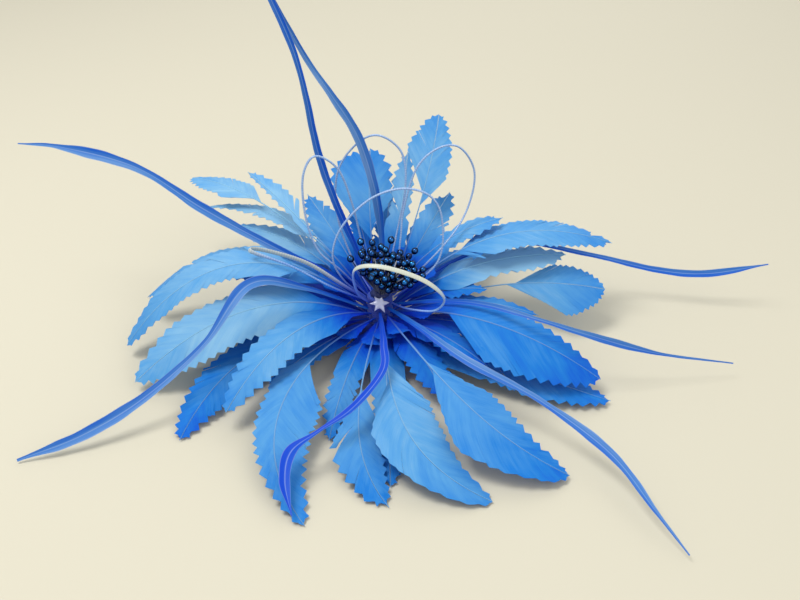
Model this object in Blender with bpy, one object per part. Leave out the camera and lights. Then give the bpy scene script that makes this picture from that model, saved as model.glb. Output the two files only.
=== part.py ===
"""Feather fascinator: cut feathers, long strips and bent quill loops round a bunch of beaded
stamens, bound together on a felt pad with a flat hair clip under it. It lies on z = 0, +Z up.

The origin is the middle of the clip's flat underside, straight below the binding. Azimuth 0 is
+X and 90 is +Y, and the flower opens towards -Y. Tables and constants are in millimetres and
degrees, and every mesh is made in metres.
"""

import math
from collections import namedtuple

import bmesh
import bpy
from mathutils import Matrix, Vector

MM = 0.001
SEAT_GAP = 0.3  # left between pieces that touch
SIDE_GAP = 0.4  # from the binding's side to the middle of a quill or strip that leaves it
LOOP_SIDE_GAP = 0.7
UP = Vector((0, 0, 1))

# Hair clip and felt pad
CLIP_LENGTH = 58.0
CLIP_WIDTH = 9.0
CLIP_HEIGHT = 3.2
CLIP_BEVEL = 0.8
PAD_RADIUS = 17.0
PAD_THICKNESS = 2.0
PAD_SIDES = 24

# Binding: the wound bundle of quill ends that everything leaves from
BINDING_RADIUS = 6.0
BINDING_WAIST = 5.6
BINDING_HEIGHT = 14.2
BINDING_SIDES = 16
PAD_BOTTOM = CLIP_HEIGHT + SEAT_GAP
BINDING_BOTTOM = PAD_BOTTOM + PAD_THICKNESS + SEAT_GAP
BINDING_TOP = BINDING_BOTTOM + BINDING_HEIGHT

# Height at which each ring of pieces leaves the binding
RING_HEIGHT = {
    "under": 7.6,
    "lower": 9.7,
    "middle": 11.8,
    "upper": 13.9,
    "crown": 16.0,
    "loops": 18.2,
}

# Feather: a quill with a vane on each side, whose outer edges are cut in a zigzag
QUILL_WIDTH = 1.5
QUILL_HEIGHT = 1.2
VANE_THICKNESS = 0.7
VANE_DROP = 0.12  # how far a vane's edge lies below the quill, as a share of its width
HUB_FREE = 3.0  # length beside the binding with no vane
HUB_SPREAD = 0.23  # the most width that a vane has for each length beyond that
VANE_START = 0.2  # least share of the length from where a vane starts to where it closes
HOOK_PEAK = 0.3257  # the most that t ** 2 - t ** 5 reaches
TIP_WIDTH = 1.6
TIP_START = 0.9
ROLL_END = 0.4  # share of the length where a feather has its whole roll
CLOSING_CURVE = 1.4
CLOSING_ROUND = 0.57
PLAIN_STATIONS = (0.0, 0.09, 0.2, 0.32, 0.44)  # shares of the length before the teeth
TEETH_START = 0.54
TOOTH_PITCH = 11.0
TEETH_RANGE = (3, 5)
TOOTH_RISE = 0.6  # share of a tooth's length where its point is
TOOTH_DEPTH = 1.7
TOOTH_SHARE = 0.4  # the most of a vane's width that a tooth cuts away

# leaves: azimuth where it leaves the binding; the azimuth, reach and height of its middle and
# its tip; left, right: widths of its two vanes seen from the binding; bare_left, bare_right:
# share of the length with no vane; roll: turn about its own quill that lifts the left side;
# hook: how far its outer part bends to the left; opening: how fast a vane widens where it starts,
# in width for each length; closing: share of the length where it starts to close to the tip
Feather = namedtuple("Feather", """ring leaves mid_azimuth mid_reach mid_height azimuth reach
    height left right bare_left bare_right roll hook opening closing""", defaults=(0, 0.75, 0.70))
FEATHERS = {
    "front_1": Feather("lower", -114, -118, 63, 14, -101, 136, 0.8, 17, 10, 0.36, 0.3, 0, -7.5, 0.6, 0.62),
    "front_2": Feather("lower", -92, -93, 57, 12.5, -87.5, 124, 0.8, 10, 12.5, 0.48, 0.5, 0, -6.5, 0.4, 0.76),
    "front_3": Feather("under", -106, -106, 46, 8, -103, 88, 1.5, 7, 7, 0.1, 0.1, 0),
    "front_4": Feather("under", -82, -86, 56, 8, -87, 113, 0.8, 8.5, 7, 0.1, 0.1, 0),
    "front_5": Feather("lower", -76, -78.5, 72, 17.5, -69.5, 129, 0.8, 15, 14, 0.36, 0.46, 0, -12, 0.5, 0.74),
    "front_6": Feather("middle", -60, -65, 76, 20, -54.5, 132, 2, 15, 19, 0.4, 0.45, 0, -5.5, 0.47, 0.72),
    "front_7": Feather("under", -62, -64, 40, 12, -66, 74, 8, 9, 9, 0.1, 0.1, 0),
    "right_1": Feather("under", -40, -37, 69, 9, -30.5, 118, 2, 14, 14, 0.15, 0.15, 0),
    "right_2": Feather("middle", -34, -33, 68, 25, -28, 111, 8, 12, 21, 0.15, 0.3, 14),
    "right_3": Feather("lower", -42, -47, 42, 17, -48, 71, 16, 8, 8, 0.1, 0.1, 0),
    "right_4": Feather("lower", -10, -9, 41, 20, -12, 76, 18, 7, 8, 0.1, 0.1, 0),
    "right_5": Feather("under", 4, 4, 56, 22.5, 2.5, 109, 20, 11, 16.5, 0.58, 0.54, 32, 0, 0.55, 0.84),
    "right_6": Feather("lower", 13, 4, 29, 20.3, -5, 51, 25.5, 6, 6.5, 0.2, 0.2, 10),
    "right_7": Feather("middle", 12, 13, 51, 30.5, 8.5, 91, 34, 8, 10.5, 0.25, 0.18, 10, 0, 0.75, 0.8),
    "right_8": Feather("upper", 16, 15, 65, 44, 9, 114, 38, 12, 12, 0.34, 0.3, 4, 0, 0.75, 0.75),
    "right_9": Feather("crown", 36, 31, 38, 39, 23, 65, 48, 8, 7, 0.4, 0.2, 5, 0, 0.75, 0.84),
    "right_10": Feather("under", -20, -25, 38, 15, -25, 76, 15, 9, 9, 0.1, 0.1, 0),
    "back_1": Feather("middle", 56, 54, 38, 37, 54, 59, 51, 10, 9, 0.2, 0.2, 0, 0, 0.75, 0.8),
    "back_2": Feather("crown", 58, 58, 37, 53, 64, 66, 88, 15, 10, 0.56, 0.5, 0, 0, 0.62, 0.78),
    "back_3": Feather("upper", 84, 76, 41, 44, 78, 65, 66, 7, 5, 0.2, 0.2, 0, 0, 0.75, 0.8),
    "back_4": Feather("lower", 86, 86, 37, 32, 86, 63, 44, 7, 6, 0.2, 0.2, 0),
    "back_5": Feather("crown", 96, 98, 39, 45, 95, 64, 68, 20, 12, 0.36, 0.42, 0, 0, 0.65, 0.86),
    "back_6": Feather("middle", 122, 120, 45, 30, 122, 73, 43, 11, 10, 0.2, 0.2, 0),
    "back_7": Feather("under", 50, 46, 40, 18, 44, 78, 14, 10, 10, 0.2, 0.2, 0),
    "back_8": Feather("under", 132, 134, 40, 18, 132, 78, 14, 10, 10, 0.2, 0.2, 0),
    "back_9": Feather("middle", 104, 103, 34, 28, 104, 60, 44, 7, 6, 0.1, 0.1, 14),
    "left_1": Feather("upper", 144, 147, 62, 47, 143, 126, 46, 9, 11, 0.62, 0.58, 0, 0, 0.6, 0.86),
    "left_2": Feather("crown", 148, 149, 45, 48, 142, 85, 60, 3, 8, 0.42, 0.55, -10),
    "left_3": Feather("middle", 146, 143, 57, 41, 149, 104, 40, 6, 10, 0.4, 0.4, 6),
    "left_4": Feather("lower", 150, 146, 48, 31, 149, 86, 34, 12, 11, 0.35, 0.3, 0),
    "left_5": Feather("lower", 178, 176, 63, 39, 175, 115, 12, 12, 12, 0.15, 0.15, 0),
    "left_6": Feather("upper", -172, -170, 67, 43, -169, 120, 6, 9, 14, 0.25, 0.25, -8, 0, 0.75, 0.82),
    "left_7": Feather("lower", -158, -156, 57, 28, -155, 119, 5, 15, 13, 0.15, 0.15, -20, 0, 0.75, 0.76),
    "left_8": Feather("under", -154, -149, 62, 11, -134, 118, 1, 11, 11.5, 0.3, 0.3, -8),
    "left_9": Feather("middle", -136, -134, 51, 24, -129, 100, 10, 10, 10, 0.12, 0.12, -12),
    "left_10": Feather("under", -131, -134, 42, 9, -133, 71, 5, 7, 6, 0.1, 0.1, 0),
    "left_11": Feather("under", 172, 174, 40, 24, 170, 78, 22, 6, 10, 0.1, 0.1, 0),
}

# Strip: a long narrow ribbon, folded a little along its middle, that runs through the given
# points of azimuth, reach and height; faces: azimuth and pitch that its broad side faces;
# widths: its width at even steps from the binding to its tip
Strip = namedtuple("Strip", "ring leaves faces widths points")
STRIP_BELOW = 0.55  # from its middle line to its underside
STRIP_ABOVE = 0.1
STRIP_FOLD = 0.16
STRIP_SECTIONS = 14
STRIPS = {
    "strip_left_up": Strip("crown", 172, (-90, 35), (1.4, 2.4, 3.0, 3.8, 5.0, 3.4, 5.2, 1.8, 0.6), (
        (173, 24, 29.5), (172, 47, 40), (170, 84, 58), (168, 117, 75), (168, 154, 82), (168, 177, 82))),
    "strip_back_1": Strip("crown", 114, (-90, 30), (1.4, 2.0, 3.4, 3.8, 3.2, 2.6, 3.0, 2.6, 0.6), (
        (118, 22, 30), (131, 32, 56), (138, 39, 83), (142, 42, 110), (145, 47, 133), (150, 58, 162),
        (153, 67, 186))),
    "strip_back_2": Strip("crown", 78, (-90, 30), (1.4, 2.5, 4.2, 4.5, 4.4, 2.8, 2.4, 2.4, 0.6), (
        (88, 23, 35), (95, 25, 62), (110, 29, 89), (127, 36, 109), (137, 46, 127), (147, 61, 161),
        (151, 70, 182))),
    "strip_right_up": Strip("middle", 32, (-90, 40), (1.2, 1.6, 2.0, 2.2, 2.3, 2.8, 3.7, 3.6, 0.6), (
        (28, 39, 27), (24, 73, 32), (16, 109, 25), (11, 141, 18), (8, 165, 18), (6, 193, 25))),
    "strip_right": Strip("crown", -22, (-90, 40), (1.2, 1.8, 2.3, 2.6, 1.9, 2.4, 3.4, 1.2, 0.6), (
        (-27, 34, 26), (-29, 56, 31), (-30, 83, 32), (-27, 101, 28), (-20, 130, 17), (-14, 165, 8))),
    "strip_front_right": Strip("crown", -56, (-90, 60), (1.4, 2.7, 3.5, 3.8, 2.6, 4.3, 3.0, 1.3, 0.6), (
        (-60, 37, 22), (-58, 70, 24), (-50, 104, 18), (-49, 140, 12), (-52, 169, 8), (-53, 188, 3))),
    "strip_front": Strip("upper", -90, (-90, 90), (1.4, 2.3, 3.4, 3.5, 3.6, 2.0, 5.2, 4.4, 0.6), (
        (-87, 30, 20), (-87, 49, 24), (-88, 68, 24), (-96, 89, 21), (-103, 101, 17), (-107, 112, 14),
        (-106, 124, 10), (-103, 136, 5))),
    "strip_left": Strip("upper", -150, (-90, 45), (1.2, 1.9, 4.2, 5.4, 2.6, 3.8, 5.4, 4.2, 1.2), (
        (-148, 39, 36), (-150, 65, 45), (-144, 92, 28), (-143, 123, 14), (-144, 150, 6), (-146, 175, 1.5))),
}

# Loop: a flat stripped quill that leaves the binding, runs through the points and comes back;
# narrow: the width of its returning end, as a share of what it would be
Loop = namedtuple("Loop", "leaves returns width points narrow", defaults=(1.0,))
LOOP_THICKNESS = 1.1
LOOP_ROOT = 0.6  # its width at the binding, as a share of its full width
LOOP_NARROWS = (0.52, 0.72)  # shares of its length where it narrows
LOOP_SECTIONS = 16
LOOPS = {
    "loop_back_1": Loop(159, 106, 1.6, (
        (168, 19, 31), (168, 30, 41), (164, 36, 57), (158, 38, 75), (150, 34, 84),
        (137, 26, 77), (126, 22, 59), (116, 20, 38))),
    "loop_back_2": Loop(128, 72, 1.6, (
        (123, 26, 28), (126, 36, 48), (123, 37, 70), (108, 34, 84), (90, 32, 88),
        (72, 34, 79), (66, 30, 63), (70, 24, 42))),
    "loop_back_3": Loop(175, 0, 1.6, (
        (-179, 17, 28), (178, 22, 40), (168, 18, 54), (125, 8, 67), (37, 13, 72),
        (19, 25, 68), (12, 30, 56), (4, 27, 36))),
    "loop_back_4": Loop(48, 18, 1.5, (
        (52, 13, 28), (60, 20, 42), (62, 24, 54), (55, 30, 74), (46, 39, 83), (38, 48, 83),
        (33, 54, 70), (30, 48, 52), (22, 32, 39))),
    "loop_front": Loop(-139, -40, 2.6, (
        (-120, 20, 32), (-121, 21, 44), (-88, 22, 48), (-50, 30, 42), (-37, 37, 32),
        (-39, 33, 24), (-50, 21, 22)), 0.5),
    "loop_left": Loop(-171, -155, 2.6, (
        (-166, 17, 27), (-172, 34, 40), (-175, 54, 47), (-172, 59, 48), (-165, 42, 42),
        (-154, 25, 31)), 0.45),
}

# Stamens: stems that fan out from a cushion on the binding, a pearl bead on each
STAMENS = 33
CUSHION_RADIUS = 4.6
CUSHION_FLATNESS = 0.6
STEM_FOOT = (0.7, 0.35, 0.4)  # share of the cushion's radius sideways and upwards, and a lift
STEM_WIDTH = 0.8
BEAD_RADIUS = 1.7
STAMEN_LENGTHS = (20.0, 24.0, 16.5)  # taken in turn
STAMEN_SPREAD = 47.0  # angle of the outermost stems from the middle of the fan
STAMEN_LEAN = (6.0, 14.0)  # turns of the whole fan about X and then Y, towards -Y and +X

# Glue dab: a flat uneven star of set glue over the front edge of the binding; each arm has its
# angle in the star's own plane and its reach
DAB_ARMS = ((4, 5.0), (68, 3.2), (128, 4.2), (181, 5.2), (236, 4.6), (300, 5.4))
DAB_VALLEY = 2.4  # reach of the star's edge between two arms
DAB_THICKNESS = 1.0
DAB_SLOPE = 58.0
DAB_LOW = 1.2  # how far its middle lies below the binding's edge


def direction(azimuth, pitch=0.0):
    """Unit vector at an azimuth and a slope above the horizontal, both in degrees."""
    a, p = math.radians(azimuth), math.radians(pitch)
    return Vector((math.cos(a) * math.cos(p), math.sin(a) * math.cos(p), math.sin(p)))


def place(azimuth, reach, height):
    return direction(azimuth) * reach + UP * height


def on_binding(ring, azimuth, gap=SIDE_GAP):
    """Point beside the binding on one of its rings, where a piece leaves it."""
    return place(azimuth, BINDING_RADIUS + gap, RING_HEIGHT[ring])


def through(points, t):
    """Point and tangent at t of a smooth curve through the points."""
    spans = len(points) - 1
    i = min(int(t * spans), spans - 1)
    u = t * spans - i
    p1, p2 = points[i], points[i + 1]
    p0 = points[i - 1] if i > 0 else p1 * 2 - p2
    p3 = points[i + 2] if i + 2 <= spans else p2 * 2 - p1
    m1, m2 = (p2 - p0) / 2, (p3 - p1) / 2
    point = (p1 * (2 * u**3 - 3 * u * u + 1) + m1 * (u**3 - 2 * u * u + u)
             + p2 * (3 * u * u - 2 * u**3) + m2 * (u**3 - u * u))
    slope = (p1 * (6 * u * u - 6 * u) + m1 * (3 * u * u - 4 * u + 1)
             + p2 * (6 * u - 6 * u * u) + m2 * (3 * u * u - 2 * u))
    return point, slope.normalized()


def arc(points, t):
    """Point and slope at t of the parabola from the first point through the second to the third."""
    a, b, c = points
    middle = (b - a).length / ((b - a).length + (c - b).length)
    control = (b - a * (1 - middle) ** 2 - c * middle**2) / (2 * middle * (1 - middle))
    point = a * (1 - t) ** 2 + control * (2 * t * (1 - t)) + c * t**2
    slope = ((control - a) * (1 - t) + (c - control) * t) * 2
    return point, slope


def smooth(low, high, x):
    x = min(1.0, max(0.0, (x - low) / (high - low)))
    return x * x * (3 - 2 * x)


def axes(tangent, roll):
    """Side and normal of a cross-section; the side points left seen from the binding."""
    side = UP.cross(tangent).normalized()
    side = Matrix.Rotation(math.radians(roll), 3, tangent) @ side
    return side, tangent.cross(side)


def along(values, t):
    """Value at t between evenly spaced values."""
    spans = len(values) - 1
    i = min(int(t * spans), spans - 1)
    return values[i] + (values[i + 1] - values[i]) * smooth(0.0, 1.0, t * spans - i)


def feather_points(row):
    return (on_binding(row.ring, row.leaves), place(row.mid_azimuth, row.mid_reach, row.mid_height),
            place(row.azimuth, row.reach, row.height))


def quill_line(row, points, t):
    """Point and tangent at t of a feather's quill: an arc whose outer part hooks to one side."""
    point, slope = arc(points, t)
    across = UP.cross(points[2] - points[0]).normalized() * (row.hook / HOOK_PEAK)
    return point + across * (t**2 - t**5), (slope + across * (2 * t - 5 * t**4)).normalized()


def vane_width(row, full, bare, t, length):
    """Width of one vane before its teeth are cut: it opens at a slant and closes in a blunt tip."""
    along = t * length
    opening = max(0.0, along - bare * length) * row.opening
    opening = min(opening, max(0.0, along - HUB_FREE) * HUB_SPREAD)
    start = max(row.closing, bare + VANE_START)
    closing = (1 - (max(0.0, t - start) / (1 - start)) ** CLOSING_CURVE) ** CLOSING_ROUND
    return min(opening, full) * closing + TIP_WIDTH / 2 * smooth(TIP_START, 1.0, t)


def feather_stations(length):
    """Shares of the length with a cross-section, each with how far the zigzag cuts in there."""
    stations = [(x, 0.0) for x in PLAIN_STATIONS]
    fewest, most = TEETH_RANGE
    teeth = min(most, max(fewest, round(length * (1 - TEETH_START) / TOOTH_PITCH)))
    step = (1 - TEETH_START) / teeth
    for i in range(teeth):
        start = TEETH_START + i * step
        stations.append((start, 1.0))
        stations.append((start + step * TOOTH_RISE, 0.0))
    return stations + [(1.0, 0.0)]


def feather_section(row, points, length, t, cut):
    """Six corners round a feather: left edge, quill and right edge, above and then below."""
    point, tangent = quill_line(row, points, t)
    side, normal = axes(tangent, row.roll * smooth(0.0, ROLL_END, t))
    corners = []
    for sign, full, bare in ((1, row.left, row.bare_left), (-1, row.right, row.bare_right)):
        width = vane_width(row, full, bare, t, length)
        tooth = min(cut * TOOTH_DEPTH, width * TOOTH_SHARE)
        reach = max(QUILL_WIDTH / 2, width - tooth)
        drop = -max(0.0, reach - QUILL_WIDTH / 2) * VANE_DROP
        edge = point + side * (reach * sign) + normal * drop
        corners.append((edge + normal * (VANE_THICKNESS / 2), edge - normal * (VANE_THICKNESS / 2)))
    crest = normal * (QUILL_HEIGHT / 2)
    (left_top, left_low), (right_top, right_low) = corners
    return [left_top, point + crest, right_top, right_low, point - crest, left_low]


def new_object(name, bm, material):
    mesh = bpy.data.meshes.new(name)
    bm.to_mesh(mesh)
    bm.free()
    mesh.materials.append(material)
    obj = bpy.data.objects.new(name, mesh)
    bpy.context.scene.collection.objects.link(obj)
    return obj


def skin(bm, rings, closed_ends=True):
    """Add a skin through rings of corners given in millimetres."""
    loops = [[bm.verts.new(p * MM) for p in ring] for ring in rings]
    for near, far in zip(loops, loops[1:]):
        for i in range(len(near)):
            j = (i + 1) % len(near)
            bm.faces.new((near[i], near[j], far[j], far[i]))
    if closed_ends:
        bm.faces.new(loops[0])
        bm.faces.new(loops[-1])


def loft(name, rings, material):
    bm = bmesh.new()
    skin(bm, rings)
    bmesh.ops.recalc_face_normals(bm, faces=bm.faces)
    return new_object(name, bm, material)


def make_feather(name, row, material):
    points = feather_points(row)
    length = (points[1] - points[0]).length + (points[2] - points[1]).length
    rings = [feather_section(row, points, length, t, cut) for t, cut in feather_stations(length)]
    return loft(name, rings, material)


def strip_section(row, points, t):
    """Four corners round a strip: its two edges stand above the fold along its middle."""
    point, tangent = through(points, t)
    faces = direction(*row.faces)
    normal = (faces - tangent * faces.dot(tangent)).normalized()
    side = normal.cross(tangent)
    half = along(row.widths, t) / 2
    lift = normal * (half * STRIP_FOLD)
    return [point + side * half + lift, point + normal * STRIP_ABOVE, point - side * half + lift,
            point - normal * STRIP_BELOW]


def make_strip(name, row, material):
    points = [on_binding(row.ring, row.leaves)] + [place(*p) for p in row.points]
    steps = [i / STRIP_SECTIONS for i in range(STRIP_SECTIONS + 1)]
    return loft(name, [strip_section(row, points, t) for t in steps], material)


def ring_normal(points):
    """Unit normal of the plane that a closed run of points lies nearest to."""
    middle = sum(points, Vector()) / len(points)
    around = zip(points, points[1:] + points[:1])
    return sum(((a - middle).cross(b - middle) for a, b in around), Vector()).normalized()


def loop_section(row, points, flat, t):
    """Four corners of a flat bent quill, whose flat side faces the middle of the loop."""
    point, tangent = through(points, t)
    side = (flat - tangent * flat.dot(tangent)).normalized()
    normal = tangent.cross(side)
    half = row.width / 2 * (LOOP_ROOT + (1 - LOOP_ROOT) * math.sin(math.pi * t))
    half *= 1 - (1 - row.narrow) * smooth(*LOOP_NARROWS, t)
    thick = LOOP_THICKNESS / 2
    return [point + side * half + normal * thick, point - side * half + normal * thick,
            point - side * half - normal * thick, point + side * half - normal * thick]


def make_loop(name, row, material):
    points = [place(*p) for p in row.points]
    ends = [on_binding("loops", azimuth, LOOP_SIDE_GAP) for azimuth in (row.leaves, row.returns)]
    points = [ends[0]] + points + [ends[1]]
    flat = ring_normal(points)
    steps = [i / LOOP_SECTIONS for i in range(LOOP_SECTIONS + 1)]
    return loft(name, [loop_section(row, points, flat, t) for t in steps], material)


def turned(name, outline, sides, material):
    """Solid of revolution about +Z from radius and height pairs, flat at both ends."""
    rings = []
    for radius, height in outline:
        rings.append([place(360 * i / sides, radius, height) for i in range(sides)])
    return loft(name, rings, material)


def make_clip(material):
    """Plain flat bar with rounded ends, its underside on z = 0."""
    half, nose = CLIP_LENGTH / 2, CLIP_WIDTH / 2
    outline = []
    for centre, start in ((half - nose, -90), (-(half - nose), 90)):
        outline += [direction(start + 30 * i) * nose + Vector((centre, 0, 0)) for i in range(7)]
    rings = []
    for height, inset in ((0.0, 0.0), (CLIP_HEIGHT - CLIP_BEVEL, 0.0), (CLIP_HEIGHT, CLIP_BEVEL)):
        scale = Vector((1 - inset / half, 1 - inset / nose, 1))
        rings.append([Vector((p.x * scale.x, p.y * scale.y, height)) for p in outline])
    return loft("hair_clip", rings, material)


def make_pad(material):
    low, high = PAD_BOTTOM, PAD_BOTTOM + PAD_THICKNESS
    outline = ((PAD_RADIUS - 0.4, low), (PAD_RADIUS, low + 0.5), (PAD_RADIUS, high - 0.5),
               (PAD_RADIUS - 0.4, high))
    return turned("felt_pad", outline, PAD_SIDES, material)


def make_binding(material):
    low, high = BINDING_BOTTOM, BINDING_TOP
    outline = ((BINDING_RADIUS, low), (BINDING_WAIST, low + 1.2), (BINDING_WAIST, high - 1.2),
               (BINDING_RADIUS - 0.2, high - 0.3), (BINDING_RADIUS - 0.6, high))
    return turned("binding", outline, BINDING_SIDES, material)


def stamen_directions():
    """Even spread of directions over a cap round the middle of the fan."""
    golden = 180 * (3 - math.sqrt(5))
    low = math.cos(math.radians(STAMEN_SPREAD))
    about_x = Matrix.Rotation(math.radians(STAMEN_LEAN[0]), 3, "X")
    about_y = Matrix.Rotation(math.radians(STAMEN_LEAN[1]), 3, "Y")
    for i in range(STAMENS):
        rise = low + (1 - low) * (i + 0.5) / STAMENS
        yield about_y @ about_x @ direction(golden * i, math.degrees(math.asin(rise)))


def union(obj, other):
    """Fuse another object into this one and remove it."""
    modifier = obj.modifiers.new("join", "BOOLEAN")
    modifier.operation = "UNION"
    modifier.solver = "EXACT"
    modifier.object = other
    graph = bpy.context.evaluated_depsgraph_get()
    mesh = bpy.data.meshes.new_from_object(obj.evaluated_get(graph))
    obj.modifiers.clear()
    obj.data = mesh
    bpy.data.objects.remove(other)


def make_stamens(material):
    """A cushion with stems fused to it and a bead fused to the end of each stem."""
    foot = UP * (BINDING_TOP + SEAT_GAP)
    cushion = []
    for angle in (0, 25, 50, 75):
        dome = direction(0, angle) * CUSHION_RADIUS
        cushion.append((dome.x, foot.z + dome.z * CUSHION_FLATNESS))
    stamens = turned("stamens", cushion, 16, material)
    stems, beads = bmesh.new(), bmesh.new()
    aside, upwards, lift = STEM_FOOT
    spread = Vector((aside, aside, upwards)) * CUSHION_RADIUS
    for i, aim in enumerate(stamen_directions()):
        start = foot + aim * spread + UP * lift
        end = start + aim * STAMEN_LENGTHS[i % len(STAMEN_LENGTHS)]
        side, normal = axes(aim, 0)
        rings = []
        for centre in (start, end):
            rings.append([centre + (side * math.cos(math.radians(a)) + normal * math.sin(math.radians(a)))
                          * (STEM_WIDTH / 2) for a in (-30, 90, 210)])
        skin(stems, rings)
        bmesh.ops.create_icosphere(beads, subdivisions=2, radius=BEAD_RADIUS * MM,
                                   matrix=Matrix.Translation(end * MM))
    bmesh.ops.recalc_face_normals(stems, faces=stems.faces)
    union(stamens, new_object("stems", stems, material))
    union(stamens, new_object("beads", beads, material))
    return stamens


def make_dab(material):
    """Flat star tilted over the front edge of the binding."""
    tilt = Matrix.Rotation(math.radians(DAB_SLOPE), 3, "X")
    normal = tilt @ UP
    edge = Vector((0, -BINDING_RADIUS, BINDING_TOP))
    centre = edge + normal * SEAT_GAP + tilt @ Vector((0, -DAB_LOW, 0))
    rings = []
    outline = []
    for (angle, reach), (next_angle, _) in zip(DAB_ARMS, DAB_ARMS[1:] + DAB_ARMS[:1]):
        between = angle + (next_angle - angle) % 360 / 2
        outline += [direction(angle) * reach, direction(between) * DAB_VALLEY]
    for lift in (0.0, DAB_THICKNESS):
        rings.append([centre + tilt @ p + normal * lift for p in outline])
    return loft("glue_dab", rings, material)


def make_material(name, colour, roughness, metallic=0.0):
    material = bpy.data.materials.new(name)
    material.use_nodes = True
    shader = material.node_tree.nodes["Principled BSDF"]
    shader.inputs["Base Color"].default_value = (*colour, 1.0)
    shader.inputs["Roughness"].default_value = roughness
    shader.inputs["Metallic"].default_value = metallic
    return material


def shade_smooth(obj):
    for polygon in obj.data.polygons:
        polygon.use_smooth = True


def main():
    for obj in list(bpy.data.objects):
        bpy.data.objects.remove(obj)
    feather_blue = make_material("feather_blue", (0.05, 0.25, 0.80), 0.6)
    strip_blue = make_material("strip_blue", (0.06, 0.09, 0.55), 0.45)
    quill_white = make_material("quill_white", (0.62, 0.72, 0.86), 0.45)
    pearl_navy = make_material("pearl_navy", (0.01, 0.03, 0.14), 0.2)
    thread_blue = make_material("thread_blue", (0.02, 0.06, 0.40), 0.7)
    felt_blue = make_material("felt_blue", (0.03, 0.08, 0.42), 0.9)
    clip_steel = make_material("clip_steel", (0.60, 0.61, 0.63), 0.3, 1.0)
    clear_glue = make_material("clear_glue", (0.75, 0.76, 0.88), 0.25)
    make_clip(clip_steel)
    make_pad(felt_blue)
    make_binding(thread_blue)
    for name, row in FEATHERS.items():
        make_feather("feather_" + name, row, feather_blue)
    for name, row in STRIPS.items():
        make_strip(name, row, strip_blue)
    for name, row in LOOPS.items():
        shade_smooth(make_loop(name, row, quill_white))
    shade_smooth(make_stamens(pearl_navy))
    make_dab(clear_glue)


main()
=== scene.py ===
"""Looks of the feather fascinator: cut feathers with barbs and zigzag edges, folded strips, ribbed
quill loops, pearl stamens, glue, thread, felt and clip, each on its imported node.

Tables and constants are in millimetres and degrees, and every mesh is made in metres.
"""

import math
from collections import namedtuple

import bpy
import numpy as np
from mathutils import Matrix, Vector


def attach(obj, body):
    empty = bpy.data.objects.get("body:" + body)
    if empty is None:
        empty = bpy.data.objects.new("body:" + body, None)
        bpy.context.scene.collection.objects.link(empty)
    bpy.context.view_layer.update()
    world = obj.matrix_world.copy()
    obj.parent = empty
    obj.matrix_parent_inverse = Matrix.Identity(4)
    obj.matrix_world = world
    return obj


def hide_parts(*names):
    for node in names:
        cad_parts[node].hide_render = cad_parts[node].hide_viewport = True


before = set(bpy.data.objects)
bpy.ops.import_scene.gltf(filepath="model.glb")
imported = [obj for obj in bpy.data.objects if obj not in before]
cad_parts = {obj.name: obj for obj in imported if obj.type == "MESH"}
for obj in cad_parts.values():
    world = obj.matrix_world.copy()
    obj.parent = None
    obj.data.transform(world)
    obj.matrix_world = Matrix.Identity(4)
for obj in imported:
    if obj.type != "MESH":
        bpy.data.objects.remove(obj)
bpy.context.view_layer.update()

MM = 0.001
UP = np.array([0.0, 0.0, 1.0])
TURN = 6.28  # just under a whole turn, in radians, for random phases
FLOOR_CLEARANCE = 0.12  # lowest that any point of the feathers may lie

# Camera, at the photograph's angle to the flower
SENSOR_WIDTH = 36.0
LENS = 43.46
CAMERA_PLACE = (9.65, -394.4, 263.2)
CAMERA_DOWN = 32.0

# Lights and floor, in metres and watts
Light = namedtuple("Light", "place power size colour")
LIGHTS = {
    "key": Light((-0.40, -0.10, 1.0), 7.8, 0.45, (1.0, 0.98, 0.95)),
    "fill": Light((0.65, -0.75, 0.65), 3.6, 1.0, (0.96, 0.98, 1.0)),
    "back": Light((0.2, 0.9, 0.7), 3.0, 0.8, (1.0, 1.0, 1.0)),
}
LIGHTS_AIM = (0, 0, 0.03)
SKY_COLOUR = (1.0, 0.99, 0.97, 1.0)
SKY_STRENGTH = 0.72
FLOOR_HALF = 6.0

# Clip, pad and binding
SEAT_GAP = 0.3
SIDE_GAP = 0.4
LOOP_SIDE_GAP = 0.7
CLIP_LENGTH = 58.0
CLIP_WIDTH = 9.0
CLIP_HEIGHT = 3.2
CLIP_PROFILE = (  # from its underside up: how far the edge lies in, and its height
    (0.6, 0), (0.25, 0.06), (0.06, 0.25), (0, 0.6), (0, CLIP_HEIGHT - 1.0),
    (0.1, CLIP_HEIGHT - 0.6), (0.35, CLIP_HEIGHT - 0.25), (0.8, CLIP_HEIGHT))
PAD_RADIUS = 17.0
PAD_THICKNESS = 2.0
PAD_PROFILE = (  # from its underside up: shares of the radius and of the thickness
    (0.02, 0), (0.2, 0), (0.4, 0), (0.6, 0), (0.8, 0), (0.93, 0.02), (0.98, 0.10), (1, 0.3),
    (1, 0.7), (0.98, 0.90), (0.93, 0.98), (0.8, 1), (0.6, 1), (0.4, 1), (0.2, 1), (0.02, 1))
PAD_BOTTOM = CLIP_HEIGHT + SEAT_GAP
BINDING_RADIUS = 6.0
BINDING_WAIST = 5.6
BINDING_HEIGHT = 14.2
BINDING_BOTTOM = PAD_BOTTOM + PAD_THICKNESS + SEAT_GAP
BINDING_TOP = BINDING_BOTTOM + BINDING_HEIGHT
CORE_PROFILE = (  # height above the binding's foot, and radius
    (0, 5.5), (0.3, 5.8), (0.9, BINDING_WAIST), (7.0, BINDING_WAIST),
    (BINDING_HEIGHT - 1.0, BINDING_WAIST), (BINDING_HEIGHT - 0.4, 5.7), (BINDING_HEIGHT, 5.2),
    (BINDING_HEIGHT, 3.0), (BINDING_HEIGHT, 0.3))
THREAD_RADIUS = 0.24
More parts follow.
